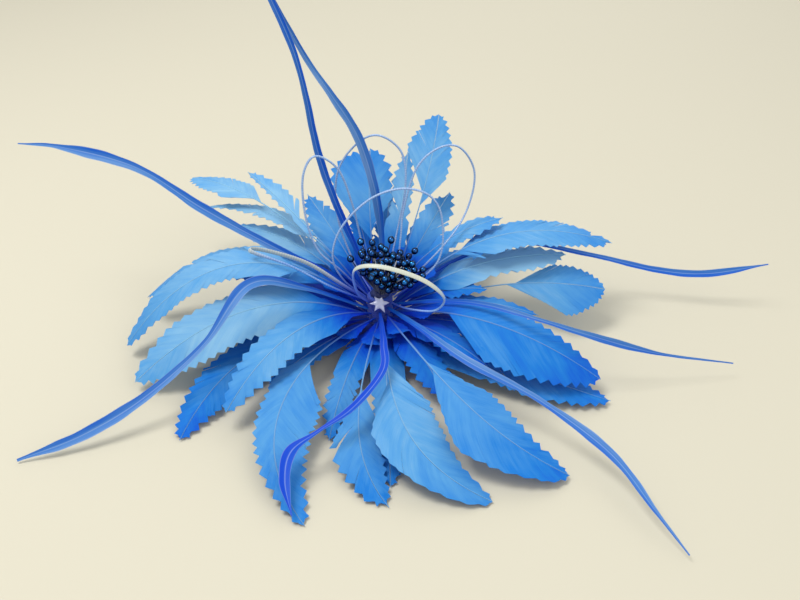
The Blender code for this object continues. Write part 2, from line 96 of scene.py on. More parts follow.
THREAD_PITCH = THREAD_RADIUS * 2.1
THREAD_STEPS = 40  # for each turn

RING_HEIGHT = {"under": 7.6, "lower": 9.7, "middle": 11.8, "upper": 13.9, "crown": 16.0, "loops": 18.2}

# Quill
QUILL_WIDTH = 1.5
QUILL_HALF = (0.50, 0.46)  # half its width and height at the binding
QUILL_TAPER = 0.68  # share of its thickness that it loses up to its tip
QUILL_LIFT = 0.14  # how far its middle lies above the vanes'
QUILL_ROOT = 1.2  # how far it runs into the binding
QUILL_SECTIONS = 44
QUILL_SIDES = 8
QUILL_FADES = (0.75, 1.0)  # shares of its length where it takes on the vanes' colour by half
ROLL_END = 0.4  # share of the length where a feather has its whole roll
HOOK_PEAK = 0.3257  # the most that t ** 2 - t ** 5 reaches

# Vane outline
VANE_THICKNESS = 0.26
VANE_DROP = 0.12  # how far a vane's edge lies below the quill, as a share of its width
HUB_FREE = 2.0  # length beside the binding with no vane
HUB_SPREAD = 0.34  # the most width that a vane has for each length beyond that
VANE_START = 0.2  # least share of the length from where a vane starts to where it closes
TIP_WIDTH = 1.6
TIP_START = 0.9
CLOSING_CURVE = 1.4
CLOSING_ROUND = 0.57
OUTLINE_POINTS = 1500

# Teeth of the cut edge
TEETH_START = 0.50  # share of the length
TEETH_AFTER = 0.12  # least share of the length from the bare stem to the teeth
FEWEST_TEETH = 3
TOOTH_PITCH = 5.2
TOOTH_UNEVEN = 0.25
TOOTH_DEPTH = 2.5
TOOTH_DEPTHS = (0.65, 1.2)  # least and most, as shares of that
TOOTH_SHARE = 0.42  # the most of a vane's width that a tooth cuts away
TOOTH_PEAK = 0.36  # share of a tooth's length where its point is
TOOTH_ROWS = 6  # rows of barbs in each tooth
TOOTH_RISE_ROWS = 2  # rows up to its point

# Barbs
FIRST_ROW = 1.5  # length between the bare stem and the first row of barbs
PLAIN_ROW = 1.2  # spacing of the rows where the edge has no teeth
BARB_SLANT = 1.25  # how far a barb runs forward for each length outward
BARB_BEND = 1.12
BARB_ROOT = 0.25
BARB_COLUMNS = 8
LAST_START = 0.1  # least length from a barb's start to the tip, and the last barb's width

# Waves and finer ripples of a vane: least and most height, and length for each radian
WAVE = (0.15, 0.45, 11.0)
RIPPLE = (0.05, 0.22, 3.1)
WAVE_LIMIT = 0.7
WAVE_WIDTH = 6.0  # width from which a vane has its whole waves

# Splits: bands of rows that have come apart at the cut edge
SPLIT_COUNTS = (1, 5)
SPLIT_MARGINS = (8, 10)  # rows before the first split and after the last
SPLIT_SPACING = 5
SPLIT_ROWS = 8  # rows that bend away from a split
SPLIT_SHARES = (0.02, 0.3, 1.0)  # how wide one is, as a share of the vane's gape
SPLIT_CHANCES = (0.35, 0.35, 0.3)
SPLIT_LIFT = 0.3

# Down that closes the flower's middle
WEB_START = 1.5  # length along the quill
WEB_SPREAD = 0.36
WEB_FADES = (15.0, 27.0)
WEB_ROW = 0.8
WEB_COLUMNS = 4
WEB_LEAST = 0.3
WEB_UNEVEN = 0.12

# Dyed colour and painted shade
HUB_HEIGHT = 14  # of the flower's middle, where the dyed colour and the painted shade are deepest
HUB_FADES = (2, 62)  # distances from there over which it lightens
TIP_FADES = (0.68, 1.0)  # shares of the length over which it deepens again, partly dyed colour and partly painted shade
TIP_DEPTH = 0.16
BAND_SPREAD = 0.015
PATTERN_STEP = 13.7  # moves each vane's pattern away from the others'

# tone: how light it is coloured, from 0 for the deepest blue to 1 and over for the palest, its dyed colour
# and, on feathers that lie in shade such as right_1, right_7 and left_3, painted light that lifts them;
# leaves:
# azimuth where it leaves the binding; the azimuth, reach and height of its middle and its tip;
# left, right: widths of its two vanes seen from the binding; bare_left, bare_right: share of the
# length with no vane; roll: turn about its own quill that lifts the left side; hook: how far it
# bends out to the left before its tip; opening: width that a vane gains for each length where it
# starts; closing: share of the length where it starts to close towards the tip
Feather = namedtuple("Feather", """ring tone leaves mid_azimuth mid_reach mid_height azimuth reach
    height left right bare_left bare_right roll hook opening closing""", defaults=(0, 0.75, 0.70))
FEATHERS = {name: Feather(*row) for name, row in {
    "front_1": ("lower", 0.68, -114, -118, 63, 14, -101, 136, 0.8, 17, 10, 0.36, 0.3, 0, -7.5, 0.6, 0.62),
    "front_2": ("lower", 0.70, -92, -93, 57, 12.5, -87.5, 124, 0.8, 10, 12.5, 0.48, 0.5, 0, -6.5, 0.4, 0.76),
    "front_3": ("under", 0.66, -106, -106, 46, 8, -103, 88, 1.5, 7, 7, 0.1, 0.1, 0),
    "front_4": ("under", 0.68, -82, -86, 56, 8, -87, 113, 0.8, 8.5, 7, 0.1, 0.1, 0),
    "front_5": ("lower", 0.78, -76, -78.5, 72, 17.5, -69.5, 129, 0.8, 15, 14, 0.36, 0.46, 0, -12, 0.5, 0.74),
    "front_6": ("middle", 0.64, -60, -65, 76, 20, -54.5, 132, 2, 15, 19, 0.4, 0.45, 0, -5.5, 0.47, 0.72),
    "front_7": ("under", 0.52, -62, -64, 40, 12, -66, 74, 8, 9, 9, 0.1, 0.1, 0),
    "right_1": ("under", 0.60, -40, -37, 69, 9, -30.5, 118, 2, 14, 14, 0.15, 0.15, 0),
    "right_2": ("middle", 0.52, -34, -33, 68, 25, -28, 111, 8, 12, 21, 0.15, 0.3, 14),
    "right_3": ("lower", 0.46, -42, -47, 42, 17, -48, 71, 16, 8, 8, 0.1, 0.1, 0),
    "right_4": ("lower", 0.66, -10, -9, 41, 20, -12, 76, 18, 7, 8, 0.1, 0.1, 0),
    "right_5": ("under", 0.78, 4, 4, 56, 22.5, 2.5, 109, 20, 11, 16.5, 0.58, 0.54, 32, 0, 0.55, 0.84),
    "right_6": ("lower", 0.76, 13, 4, 29, 20.3, -5, 51, 25.5, 6, 6.5, 0.2, 0.2, 10),
    "right_7": ("middle", 1.10, 12, 13, 51, 30.5, 8.5, 91, 34, 8, 10.5, 0.25, 0.18, 10, 0, 0.75, 0.8),
    "right_8": ("upper", 0.78, 16, 15, 65, 44, 9, 114, 38, 12, 12, 0.34, 0.3, 4, 0, 0.75, 0.75),
    "right_9": ("crown", 0.82, 36, 31, 38, 39, 23, 65, 48, 8, 7, 0.4, 0.2, 5, 0, 0.75, 0.84),
    "right_10": ("under", 0.44, -20, -25, 38, 15, -25, 76, 15, 9, 9, 0.1, 0.1, 0),
    "back_1": ("middle", 0.88, 56, 54, 38, 37, 54, 59, 51, 10, 9, 0.2, 0.2, 0, 0, 0.75, 0.8),
    "back_2": ("crown", 0.82, 58, 58, 37, 53, 64, 66, 88, 15, 10, 0.56, 0.5, 0, 0, 0.62, 0.78),
    "back_3": ("upper", 0.92, 84, 76, 41, 44, 78, 65, 66, 7, 5, 0.2, 0.2, 0, 0, 0.75, 0.8),
    "back_4": ("lower", 0.74, 86, 86, 37, 32, 86, 63, 44, 7, 6, 0.2, 0.2, 0),
    "back_5": ("crown", 0.74, 96, 98, 39, 45, 95, 64, 68, 20, 12, 0.36, 0.42, 0, 0, 0.65, 0.86),
    "back_6": ("middle", 0.80, 122, 120, 45, 30, 122, 73, 43, 11, 10, 0.2, 0.2, 0),
    "back_7": ("under", 0.62, 50, 46, 40, 18, 44, 78, 14, 10, 10, 0.2, 0.2, 0),
    "back_8": ("under", 0.66, 132, 134, 40, 18, 132, 78, 14, 10, 10, 0.2, 0.2, 0),
    "back_9": ("middle", 0.62, 104, 103, 34, 28, 104, 60, 44, 7, 6, 0.1, 0.1, 14),
    "left_1": ("upper", 0.94, 144, 147, 62, 47, 143, 126, 46, 9, 11, 0.62, 0.58, 0, 0, 0.6, 0.86),
    "left_2": ("crown", 0.94, 148, 149, 45, 48, 142, 85, 60, 3, 8, 0.42, 0.55, -10),
    "left_3": ("middle", 1.10, 146, 143, 57, 41, 149, 104, 40, 6, 10, 0.4, 0.4, 6),
    "left_4": ("lower", 1.00, 150, 146, 48, 31, 149, 86, 34, 12, 11, 0.35, 0.3, 0),
    "left_5": ("lower", 0.82, 178, 176, 63, 39, 175, 115, 12, 12, 12, 0.15, 0.15, 0),
    "left_6": ("upper", 0.84, -172, -170, 67, 43, -169, 120, 6, 9, 14, 0.25, 0.25, -8, 0, 0.75, 0.82),
    "left_7": ("lower", 0.92, -158, -156, 57, 28, -155, 119, 5, 15, 13, 0.15, 0.15, -20, 0, 0.75, 0.76),
    "left_8": ("under", 0.56, -154, -149, 62, 11, -134, 118, 1, 11, 11.5, 0.3, 0.3, -8),
    "left_9": ("middle", 0.78, -136, -134, 51, 24, -129, 100, 10, 10, 10, 0.12, 0.12, -12),
    "left_10": ("under", 0.60, -131, -134, 42, 9, -133, 71, 5, 7, 6, 0.1, 0.1, 0),
    "left_11": ("under", 0.50, 172, 174, 40, 24, 170, 78, 22, 6, 10, 0.1, 0.1, 0),
}.items()}

# Feathers with finer teeth: their size as a share of the others'
TEETH_SCALES = {"right_5": 0.6, "back_2": 0.72, "left_1": 0.8, "left_6": 0.85, "right_8": 0.8}

# Feathers with a shallow zigzag: its depth on the left and the right vane, as shares of the others'
TEETH_SHARES = {"front_5": (0.6, 0.3), "front_6": (1.0, 0.35), "front_2": (0.7, 1.0)}

# How far a vane's bands come apart at its cut edge, at the most
SPLIT_GAPES = {
    "back_5": 7.0, "right_8": 5.0, "right_9": 5.0, "left_6": 4.5, "left_5": 4.5, "left_3": 3.5,
    "left_8": 3.0, "back_1": 5.0, "back_2": 0.3, "right_5": 0.3, "right_2": 0.5, "front_6": 0.5,
    "front_5": 1.0, "left_7": 0.6, "left_1": 0.5, "front_1": 0.8,
}
PLAIN_GAPE = 2.4

# One vane in the making; sign: 1 for the left one and -1 for the right one; full, bare: its width
# and the share of the length with no vane; scale, depth: of its teeth; gape: of its splits
Vane = namedtuple("Vane", "row sign full bare length scale depth gape seed")

# How deep each loop's ribs are, as a share of its width, which also sets how strong the painted shade in its
# grooves is, and how cream it is, from 0 to 1
LOOP_LOOKS = {"front": (0.04, 1.0), "left": (0.10, 0.9)}
PLAIN_LOOP_LOOK = (0.08, 0.25)
CREAM_STARTS = {"front": (0.19, 0.27)}  # shares of its length where a blue root turns cream

# faces: azimuth and pitch that a strip's upper side faces; widths: at even steps from its root;
# points: azimuth, reach and height of each point of its middle line
Strip = namedtuple("Strip", "ring tone leaves faces widths points")
STRIP_FOLD = 0.30
STRIP_SINK = 0.15  # how far the fold lies below the middle line
STRIP_THICKNESS = 0.3
STRIP_RIB = (0.22, 0.13)  # height, and width as a share of the strip's half width
STRIP_UNEVEN = 0.03
STRIP_FADES = (8, 70)  # lengths over which it loses the deep colour of the flower's middle, partly dyed colour and partly painted shade
STRIP_SECTIONS = 150
STRIP_COLUMNS = 12
STRIPS = {
    "left_up": Strip("crown", 0.66, 172, (-90, 35), (1.4, 2.4, 3.0, 3.8, 5.0, 3.4, 5.2, 1.8, 0.6), (
        (173, 24, 29.5), (172, 47, 40), (170, 84, 58), (168, 117, 75), (168, 154, 82), (168, 177, 82))),
    "back_1": Strip("crown", 0.44, 114, (-90, 30), (1.4, 2.0, 3.4, 3.8, 3.2, 2.6, 3.0, 2.6, 0.6), (
        (118, 22, 30), (131, 32, 56), (138, 39, 83), (142, 42, 110), (145, 47, 133), (150, 58, 162),
        (153, 67, 186))),
    "back_2": Strip("crown", 0.78, 78, (-90, 30), (1.4, 2.5, 4.2, 4.5, 4.4, 2.8, 2.4, 2.4, 0.6), (
        (88, 23, 35), (95, 25, 62), (110, 29, 89), (127, 36, 109), (137, 46, 127), (147, 61, 161),
        (151, 70, 182))),
    "right_up": Strip("middle", 0.50, 32, (-90, 40), (1.2, 1.6, 2.0, 2.2, 2.3, 2.8, 3.7, 3.6, 0.6), (
        (28, 39, 27), (24, 73, 32), (16, 109, 25), (11, 141, 18), (8, 165, 18), (6, 193, 25))),
    "right": Strip("crown", 0.60, -22, (-90, 40), (1.2, 1.8, 2.3, 2.6, 1.9, 2.4, 3.4, 1.2, 0.6), (
        (-27, 34, 26), (-29, 56, 31), (-30, 83, 32), (-27, 101, 28), (-20, 130, 17), (-14, 165, 8))),
    "front_right": Strip("crown", 0.66, -56, (-90, 60), (1.4, 2.7, 3.5, 3.8, 2.6, 4.3, 3.0, 1.3, 0.6), (
        (-60, 37, 22), (-58, 70, 24), (-50, 104, 18), (-49, 140, 12), (-52, 169, 8), (-53, 188, 3))),
    "front": Strip("upper", 0.04, -90, (-90, 90), (1.4, 2.3, 3.4, 3.5, 3.6, 2.0, 5.2, 4.4, 0.6), (
        (-87, 30, 20), (-87, 49, 24), (-88, 68, 24), (-96, 89, 21), (-103, 101, 17), (-107, 112, 14),
        (-106, 124, 10), (-103, 136, 5))),
    "left": Strip("upper", 0.68, -150, (-90, 45), (1.2, 1.9, 4.2, 5.4, 2.6, 3.8, 5.4, 4.2, 1.2), (
        (-148, 39, 36), (-150, 65, 45), (-144, 92, 28), (-143, 123, 14), (-144, 150, 6), (-146, 175, 1.5))),
}

# narrow: the width of a loop's returning end, as a share of what it would be
Loop = namedtuple("Loop", "leaves returns width points narrow", defaults=(1.0,))
LOOP_THICKNESS = 1.1
LOOP_ROOT = (0.6, 0.75)  # shares of its full width and thickness at the binding
LOOP_NARROWS = (0.52, 0.72)  # shares of its length
LOOP_FADES = (4.0, 30.0)  # lengths from its ends over which it loses the deep blue of the flower's middle, partly dyed colour and partly painted shade
LOOP_SIDES = 10
RIB_PITCH = 1.15
RIB_SECTIONS = 4
LOOPS = {
    "back_1": Loop(159, 106, 1.6, (
        (168, 19, 31), (168, 30, 41), (164, 36, 57), (158, 38, 75), (150, 34, 84),
        (137, 26, 77), (126, 22, 59), (116, 20, 38))),
    "back_2": Loop(128, 72, 1.6, (
        (123, 26, 28), (126, 36, 48), (123, 37, 70), (108, 34, 84), (90, 32, 88),
        (72, 34, 79), (66, 30, 63), (70, 24, 42))),
    "back_3": Loop(175, 0, 1.6, (
        (-179, 17, 28), (178, 22, 40), (168, 18, 54), (125, 8, 67), (37, 13, 72),
        (19, 25, 68), (12, 30, 56), (4, 27, 36))),
    "back_4": Loop(48, 18, 1.5, (
        (52, 13, 28), (60, 20, 42), (62, 24, 54), (55, 30, 74), (46, 39, 83), (38, 48, 83),
        (33, 54, 70), (30, 48, 52), (22, 32, 39))),
    "front": Loop(-139, -40, 2.6, (
        (-120, 20, 32), (-121, 21, 44), (-88, 22, 48), (-50, 30, 42), (-37, 37, 32),
        (-39, 33, 24), (-50, 21, 22)), 0.5),
    "left": Loop(-171, -155, 2.6, (
        (-166, 17, 27), (-172, 34, 40), (-175, 54, 47), (-172, 59, 48), (-165, 42, 42),
        (-154, 25, 31)), 0.45),
}

# Stamens
STAMENS = 33
CUSHION_RADIUS = 4.6
CUSHION_FLATNESS = 0.6
STEM_FOOT = (0.7, 0.35, 0.4)  # share of the cushion's radius sideways and upwards, and a lift
STEM_ROOT = (0.45, 1.2)  # how far in and down its root lies from there
STEM_RADIUS = 0.27
STEM_BEND = 0.7
STEM_SECTIONS = 12
STEM_SIDES = 7
STEM_FADES = (0.15, 0.65)  # shares of its length over which its grey foot darkens into the painted shade among the beads
BEAD_RADIUS = 1.7
BEAD_SIZES = (0.92, 1.04)
BEAD_LENGTH = 1.08
BEAD_TIP = (1.04, 0.34, 0.25)  # its place as a share of the bead's radius, and its half sizes
STAMEN_LENGTHS = (20.0, 24.0, 16.5)  # taken in turn
STAMEN_SPREAD = 47.0  # angle of the outermost stems from the middle of the fan
STAMEN_LEAN = (6.0, 14.0)  # turns of the whole fan about X and then Y, towards -Y and +X

# The shorter stamens that only this script adds: one between each packed one and the one that
# comes so many later, once for each of these steps
INNER_STEPS = (3, 8)
INNER_LEAN = 0.55  # share of the first one's direction
INNER_LENGTHS = (14.5, 19.5, 12.5, 17.0)  # taken in turn

# Glue dab
DAB_ARMS = ((4, 5.0), (68, 3.2), (128, 4.2), (181, 5.2), (236, 4.6), (300, 5.4))
DAB_VALLEY = 2.4  # reach of the star's edge between two arms
DAB_THICKNESS = 1.0
DAB_SLOPE = 58.0
DAB_LOW = 1.2  # how far its middle lies below the binding's edge
DAB_PROFILE = (  # from its underside up: shares of its outline and of its thickness
    (1.0, 0.0), (1.0, 0.2), (0.985, 0.38), (0.93, 0.56), (0.82, 0.72), (0.65, 0.86),
    (0.45, 0.95), (0.25, 0.99), (0.05, 1.0))


# Curves


def unit(v):
    return v / np.linalg.norm(v, axis=-1, keepdims=True)


def direction(azimuth, pitch=0.0):
    a, p = math.radians(azimuth), math.radians(pitch)
    return np.array([math.cos(a) * math.cos(p), math.sin(a) * math.cos(p), math.sin(p)])


def circle(count):
    """Angles all round, in radians."""
    return np.arange(count) * 2 * math.pi / count


def place(azimuth, reach, height):
    return direction(azimuth) * reach + UP * height


def on_binding(ring, azimuth, gap=SIDE_GAP):
    return place(azimuth, BINDING_RADIUS + gap, RING_HEIGHT[ring])


def smooth(low, high, x):
    x = np.clip((x - low) / (high - low), 0.0, 1.0)
    return x * x * (3 - 2 * x)


def arc(points, t):
    """Points and tangents at t of the parabola through three points."""
    a, b, c = points
    first, second = np.linalg.norm(b - a), np.linalg.norm(c - b)
    middle = first / (first + second)
    control = (b - a * (1 - middle) ** 2 - c * middle**2) / (2 * middle * (1 - middle))
    t = np.asarray(t)[..., None]
    point = a * (1 - t) ** 2 + control * (2 * t * (1 - t)) + c * t**2
    return point, unit((control - a) * (1 - t) + (c - control) * t)


def through(points, t):
    """Points and tangents at t of a smooth curve through the points."""
    points, spans = np.array(points), len(points) - 1
    padded = np.vstack([points[0] * 2 - points[1], points, points[-1] * 2 - points[-2]])
    i = np.minimum((t * spans).astype(int), spans - 1)
    u = (t * spans - i)[:, None]
    before, start, end, after = (padded[i + k] for k in range(4))
    leave, arrive, step = (end - before) / 2, (after - start) / 2, end - start
    square, cube = 3 * step - 2 * leave - arrive, leave + arrive - 2 * step
    point = start + u * (leave + u * (square + u * cube))
    return point, unit(leave + u * (2 * square + 3 * u * cube))


def along(values, t):
    """Values at t between evenly spaced values."""
    values, spans = np.array(values), len(values) - 1
    i = np.minimum((t * spans).astype(int), spans - 1)
    return values[i] + (values[i + 1] - values[i]) * smooth(0.0, 1.0, t * spans - i)


def axes(tangent, roll):
    """Sides and normals of cross-sections, turned by a roll in degrees."""
    side = unit(np.cross(UP, tangent))
    normal = np.cross(tangent, side)
    r = np.radians(roll)[..., None]
    side = side * np.cos(r) + normal * np.sin(r)
    return side, np.cross(tangent, side)


def curve_length(points):
    return np.concatenate([[0.0], np.cumsum(np.linalg.norm(np.diff(points, axis=0), axis=1))])


def vectors(x, y, z):
    """Vectors from three numbers or arrays of numbers."""
    return np.stack(np.broadcast_arrays(x, y, z), -1)


def rotation(angle, axis):
    a = math.radians(angle)
    c, s = math.cos(a), math.sin(a)
    if axis == "X":
        return np.array([[1, 0, 0], [0, c, -s], [0, s, c]])
    return np.array([[c, 0, s], [0, 1, 0], [-s, 0, c]])


# Meshes


class Shape:
    """Vertices, faces and two vector fields that the materials read: barb, the lengths that a
    pattern follows, and look, shares from 0 to 1. A field is given for all of a part, or for each
    of its rows or points."""

    def __init__(self):
        self.verts, self.faces, self.barb, self.look = [], [], [], []
        self.count = 0

    def add(self, verts, faces, barb, look):
        self.verts.append(verts)
        self.barb.append(barb)
        self.look.append(look)
        self.faces += [f + self.count for f in faces]
        self.count += len(verts)

    def add_sheet(self, middle, half, flip, barb, look):
        """Add a closed thin sheet, half of it to each side of a grid of points."""
        verts, faces = shell(middle + half, middle - half, flip)
        fields = [np.broadcast_to(field, middle.shape).reshape(-1, 3) for field in (barb, look)]
        self.add(verts, [faces], *(np.concatenate([field, field]) for field in fields))

    def add_tube(self, rings, barb=(0, 0, 0), look=(0, 0, 0)):
        """Add a closed tube through rings."""
        fields = [np.broadcast_to(field, rings.shape).reshape(-1, 3) for field in (barb, look)]
        self.add(rings.reshape(-1, 3), tube_faces(*rings.shape[:2]), *fields)

    def mesh(self, name):
        mesh = bpy.data.meshes.new(name)
        faces = [face for part in self.faces for face in part.tolist()]
        mesh.from_pydata(np.concatenate(self.verts) * MM, [], faces, shade_flat=False)
        for field in ("barb", "look"):
            data = mesh.attributes.new(field, "FLOAT_VECTOR", "POINT").data
            data.foreach_set("vector", np.concatenate(getattr(self, field)).astype(np.float32).ravel())
        return mesh


def grid_faces(rows, columns):
    """Quads of a grid, whose normals point along (row direction) x (column direction)."""
    i, j = np.meshgrid(np.arange(rows - 1), np.arange(columns - 1), indexing="ij")
    a = i * columns + j
    return np.stack([a, a + columns, a + columns + 1, a + 1], -1).reshape(-1, 4)


def shell(top, low, flip):
    """Closed thin sheet between two grids of the same size."""
    rows, columns = top.shape[:2]
    n = rows * columns
    upper = grid_faces(rows, columns)
    index = np.arange(n).reshape(rows, columns)
    rim = np.concatenate([index[:, 0], index[-1, 1:], index[::-1, -1][1:], index[0, ::-1][1:]])
    a, b = rim[:-1], rim[1:]
    walls = np.stack([b, a, a + n, b + n], -1)
    faces = np.concatenate([upper, (upper + n)[:, ::-1], walls])
    if flip:
        faces = faces[:, ::-1]
    return np.concatenate([top.reshape(-1, 3), low.reshape(-1, 3)]), faces


def tube_faces(rows, around):
    """Sides and ends of a tube whose rings turn from the side towards the normal."""
    i, k = np.meshgrid(np.arange(rows - 1), np.arange(around), indexing="ij")
    a, b = i * around + k, i * around + (k + 1) % around
    sides = np.stack([a, b, b + around, a + around], -1).reshape(-1, 4)
    return [sides, np.arange(around)[::-1][None, :], (np.arange(around) + (rows - 1) * around)[None, :]]


def ring_points(point, side, normal, half_side, half_normal, around):
    """Elliptical rings about points: shape (rows, around, 3)."""
    angle = circle(around)
    across = np.cos(angle)[None, :, None] * np.reshape(half_side, (-1, 1, 1)) * side[:, None, :]
    over = np.sin(angle)[None, :, None] * np.reshape(half_normal, (-1, 1, 1)) * normal[:, None, :]
    return point[:, None, :] + across + over


def turned(radius, height, angle):
    """Rings about the upright axis, with a radius for each row and angle and a height for each row."""
    return vectors(radius * np.cos(angle), radius * np.sin(angle), np.reshape(height, (-1, 1)))


def piece(name, shape, material, node, sharp):
    """Make an object of a shape, give it its looks and put it in its node's place."""
    mesh = shape.mesh(name)
    mesh.set_sharp_from_angle(angle=math.radians(sharp))
    mesh.materials.append(material)
    obj = bpy.data.objects.new(name, mesh)
    bpy.context.scene.collection.objects.link(obj)
    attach(obj, "root")
    if node:
        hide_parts(node)


def tube_piece(name, rings, material, slot, node, sharp, **fields):
    """Make a piece that is one tube."""
    shape = Shape()
    shape.add_tube(rings, **fields)
    piece(name, shape, material, node, sharp)


# Feathers


def quill_line(row, t):
    """Points and directions at t of a feather's quill."""
    points = (on_binding(row.ring, row.leaves), place(row.mid_azimuth, row.mid_reach, row.mid_height),
              place(row.azimuth, row.reach, row.height))
    across = unit(np.cross(UP, points[2] - points[0]))

    def at(t):
        return arc(points, t)[0] + across * (row.hook * (t**2 - t**5) / HOOK_PEAK)[..., None]

    step = 0.002
    return at(t), unit(at(t + step) - at(t - step))


def quill_length(row):
    return curve_length(quill_line(row, np.linspace(0.0, 1.0, 80))[0])[-1]


def quill_axes(row, t):
    """Points and directions at t of a feather's quill, with the way to its left and its upper side."""
    point, tangent = quill_line(row, t)
    return point, tangent, *axes(tangent, row.roll * smooth(0.0, ROLL_END, t))


def dye_and_painted_shade(row, points):
    """How light a feather is coloured at points: deep at the flower's middle, partly dyed colour and partly
    painted shade, its own tone far out.
    """
    return row.tone * smooth(*HUB_FADES, np.linalg.norm(points - UP * HUB_HEIGHT, axis=-1))


def vane_width(vane, t):
    """Width of one vane before its teeth are cut."""
    run = t * vane.length
    opening = np.maximum(0.0, run - vane.bare * vane.length) * vane.row.opening
    opening = np.minimum(opening, np.maximum(0.0, run - HUB_FREE) * HUB_SPREAD)
    start = max(vane.row.closing, vane.bare + VANE_START)
    closing = (1 - (np.maximum(0.0, t - start) / (1 - start)) ** CLOSING_CURVE) ** CLOSING_ROUND
    return np.minimum(opening, vane.full) * closing + TIP_WIDTH / 2 * smooth(TIP_START, 1.0, t)


def tooth_cuts(teeth, rng):
    """Uneven zigzag: places along the cut edge from 0 to 1, and how deep each place lies."""
    pitch = 1 + rng.uniform(-TOOTH_UNEVEN, TOOTH_UNEVEN, teeth)
    valleys = np.concatenate([[0.0], np.cumsum(pitch)]) / pitch.sum()
    peaks = valleys[:-1] + np.diff(valleys) * TOOTH_PEAK
    valley_rows = np.arange(teeth + 1) * TOOTH_ROWS
    rows = np.sort(np.concatenate([valley_rows, valley_rows[:-1] + TOOTH_RISE_ROWS]))
    deep = np.zeros(2 * teeth + 1)
    deep[2::2] = rng.uniform(*TOOTH_DEPTHS, teeth + 1)[1:]
    row = np.arange(teeth * TOOTH_ROWS + 1)
    return np.interp(row, rows, np.sort(np.concatenate([valleys, peaks]))), np.interp(row, rows, deep)


def vane_rows(vane, rng):
    """Rows of barbs: where each starts on the quill, and the station and width of its end."""
    length, bare = vane.length, vane.bare
    t = np.linspace(0.0, 1.0, OUTLINE_POINTS)
    run, width = t * length, vane_width(vane, t)
    first = int(np.searchsorted(run, bare * length + FIRST_ROW))
    outline = curve_length(np.stack([run, width], -1))
    toothed = outline[np.searchsorted(t, max(TEETH_START, bare + TEETH_AFTER))]
    plain = np.arange(outline[first], toothed - PLAIN_ROW / 2, PLAIN_ROW)
    teeth = max(FEWEST_TEETH, round((outline[-1] - toothed) / (TOOTH_PITCH * vane.scale)))
    cut, depth = tooth_cuts(teeth, rng)
    at = np.concatenate([plain, toothed + cut * (outline[-1] - toothed)])
    depth = np.concatenate([np.zeros(len(plain)), depth])
    e, w = np.interp(at, outline, run), np.interp(at, outline, width)
    slope_e, slope_w = np.gradient(e, at), np.gradient(w, at)
    size = np.hypot(slope_e, slope_w) + 1e-9
    start = np.clip(e - w * BARB_SLANT, bare * length, length - LAST_START)
    cut_in = np.minimum(depth * TOOTH_DEPTH * vane.scale * vane.depth, w * TOOTH_SHARE)
    e = e + cut_in * slope_w / size
    w = w - cut_in * slope_e / size
    return np.maximum.accumulate(start), np.append(e[:-1], length), np.append(w[:-1], LAST_START)


def splits(count, rng):
    """Rows where a vane has come apart, from its first row to its last."""
    before, after = SPLIT_MARGINS
    inner = np.sort(rng.integers(before, max(before + 1, count - after), rng.integers(*SPLIT_COUNTS)))
    ends = [0]
    for row in inner:
        if row - ends[-1] > SPLIT_SPACING:
            ends.append(int(row))
    return ends + [count - 1]


def add_vane(shape, vane):
    """Vane of slanting barbs in bands that come apart at its edge."""
    rng = np.random.default_rng(vane.seed)
    start, end, width = vane_rows(vane, rng)
    u = np.linspace(0.0, 1.0, BARB_COLUMNS + 1)
    wave, ripple = rng.uniform(*WAVE[:2]), rng.uniform(*RIPPLE[:2])
    turn = rng.uniform(0, TURN, 2)
    ends = splits(len(start), rng)
    for low, high in zip(ends, ends[1:]):
        rows = slice(low, high + 1)
        s, e, w = start[rows, None], end[rows, None], width[rows, None]
        apart = vane.gape * rng.choice(SPLIT_SHARES, p=SPLIT_CHANCES)
        pulled = np.zeros_like(s)
        last = min(SPLIT_ROWS, high - low)
        pulled[-last:, 0] = np.linspace(0.0, 1.0, last + 1)[1:] ** 1.5
        station = s + (e - s) * u**BARB_BEND - apart * pulled * u**2
        lateral = BARB_ROOT + (w - BARB_ROOT) * u
        t = np.clip(station / vane.length, 0.0, 1.0)
        point, _, side, normal = quill_axes(vane.row, t)
        lift = wave * np.sin(station / WAVE[2] + turn[0]) * u**2
        lift = lift + ripple * np.sin(station / RIPPLE[2] + turn[1]) * u**3
        lift = lift + SPLIT_LIFT * rng.normal() * pulled * u**2
        height = -VANE_DROP * np.maximum(0.0, lateral - QUILL_WIDTH / 2)
        height = height + np.clip(lift, -WAVE_LIMIT, WAVE_LIMIT) * smooth(0.0, WAVE_WIDTH, w)
        middle = point + side * (lateral * vane.sign)[..., None] + normal * height[..., None]
        middle[..., 2] = np.maximum(middle[..., 2], FLOOR_CLEARANCE + VANE_THICKNESS)
        half = normal * (VANE_THICKNESS / 2 * (1 - 0.55 * u))[None, :, None]
        # deep at the flower's middle and deeper again at the tip, partly dyed colour and partly painted shade
        light = dye_and_painted_shade(vane.row, middle) - TIP_DEPTH * smooth(*TIP_FADES, t) + rng.normal(0, BAND_SPREAD)
        shape.add_sheet(middle, half, vane.sign < 0, vectors(u, s + vane.seed * PATTERN_STEP, station),
                        vectors(light, 0, rng.uniform()))


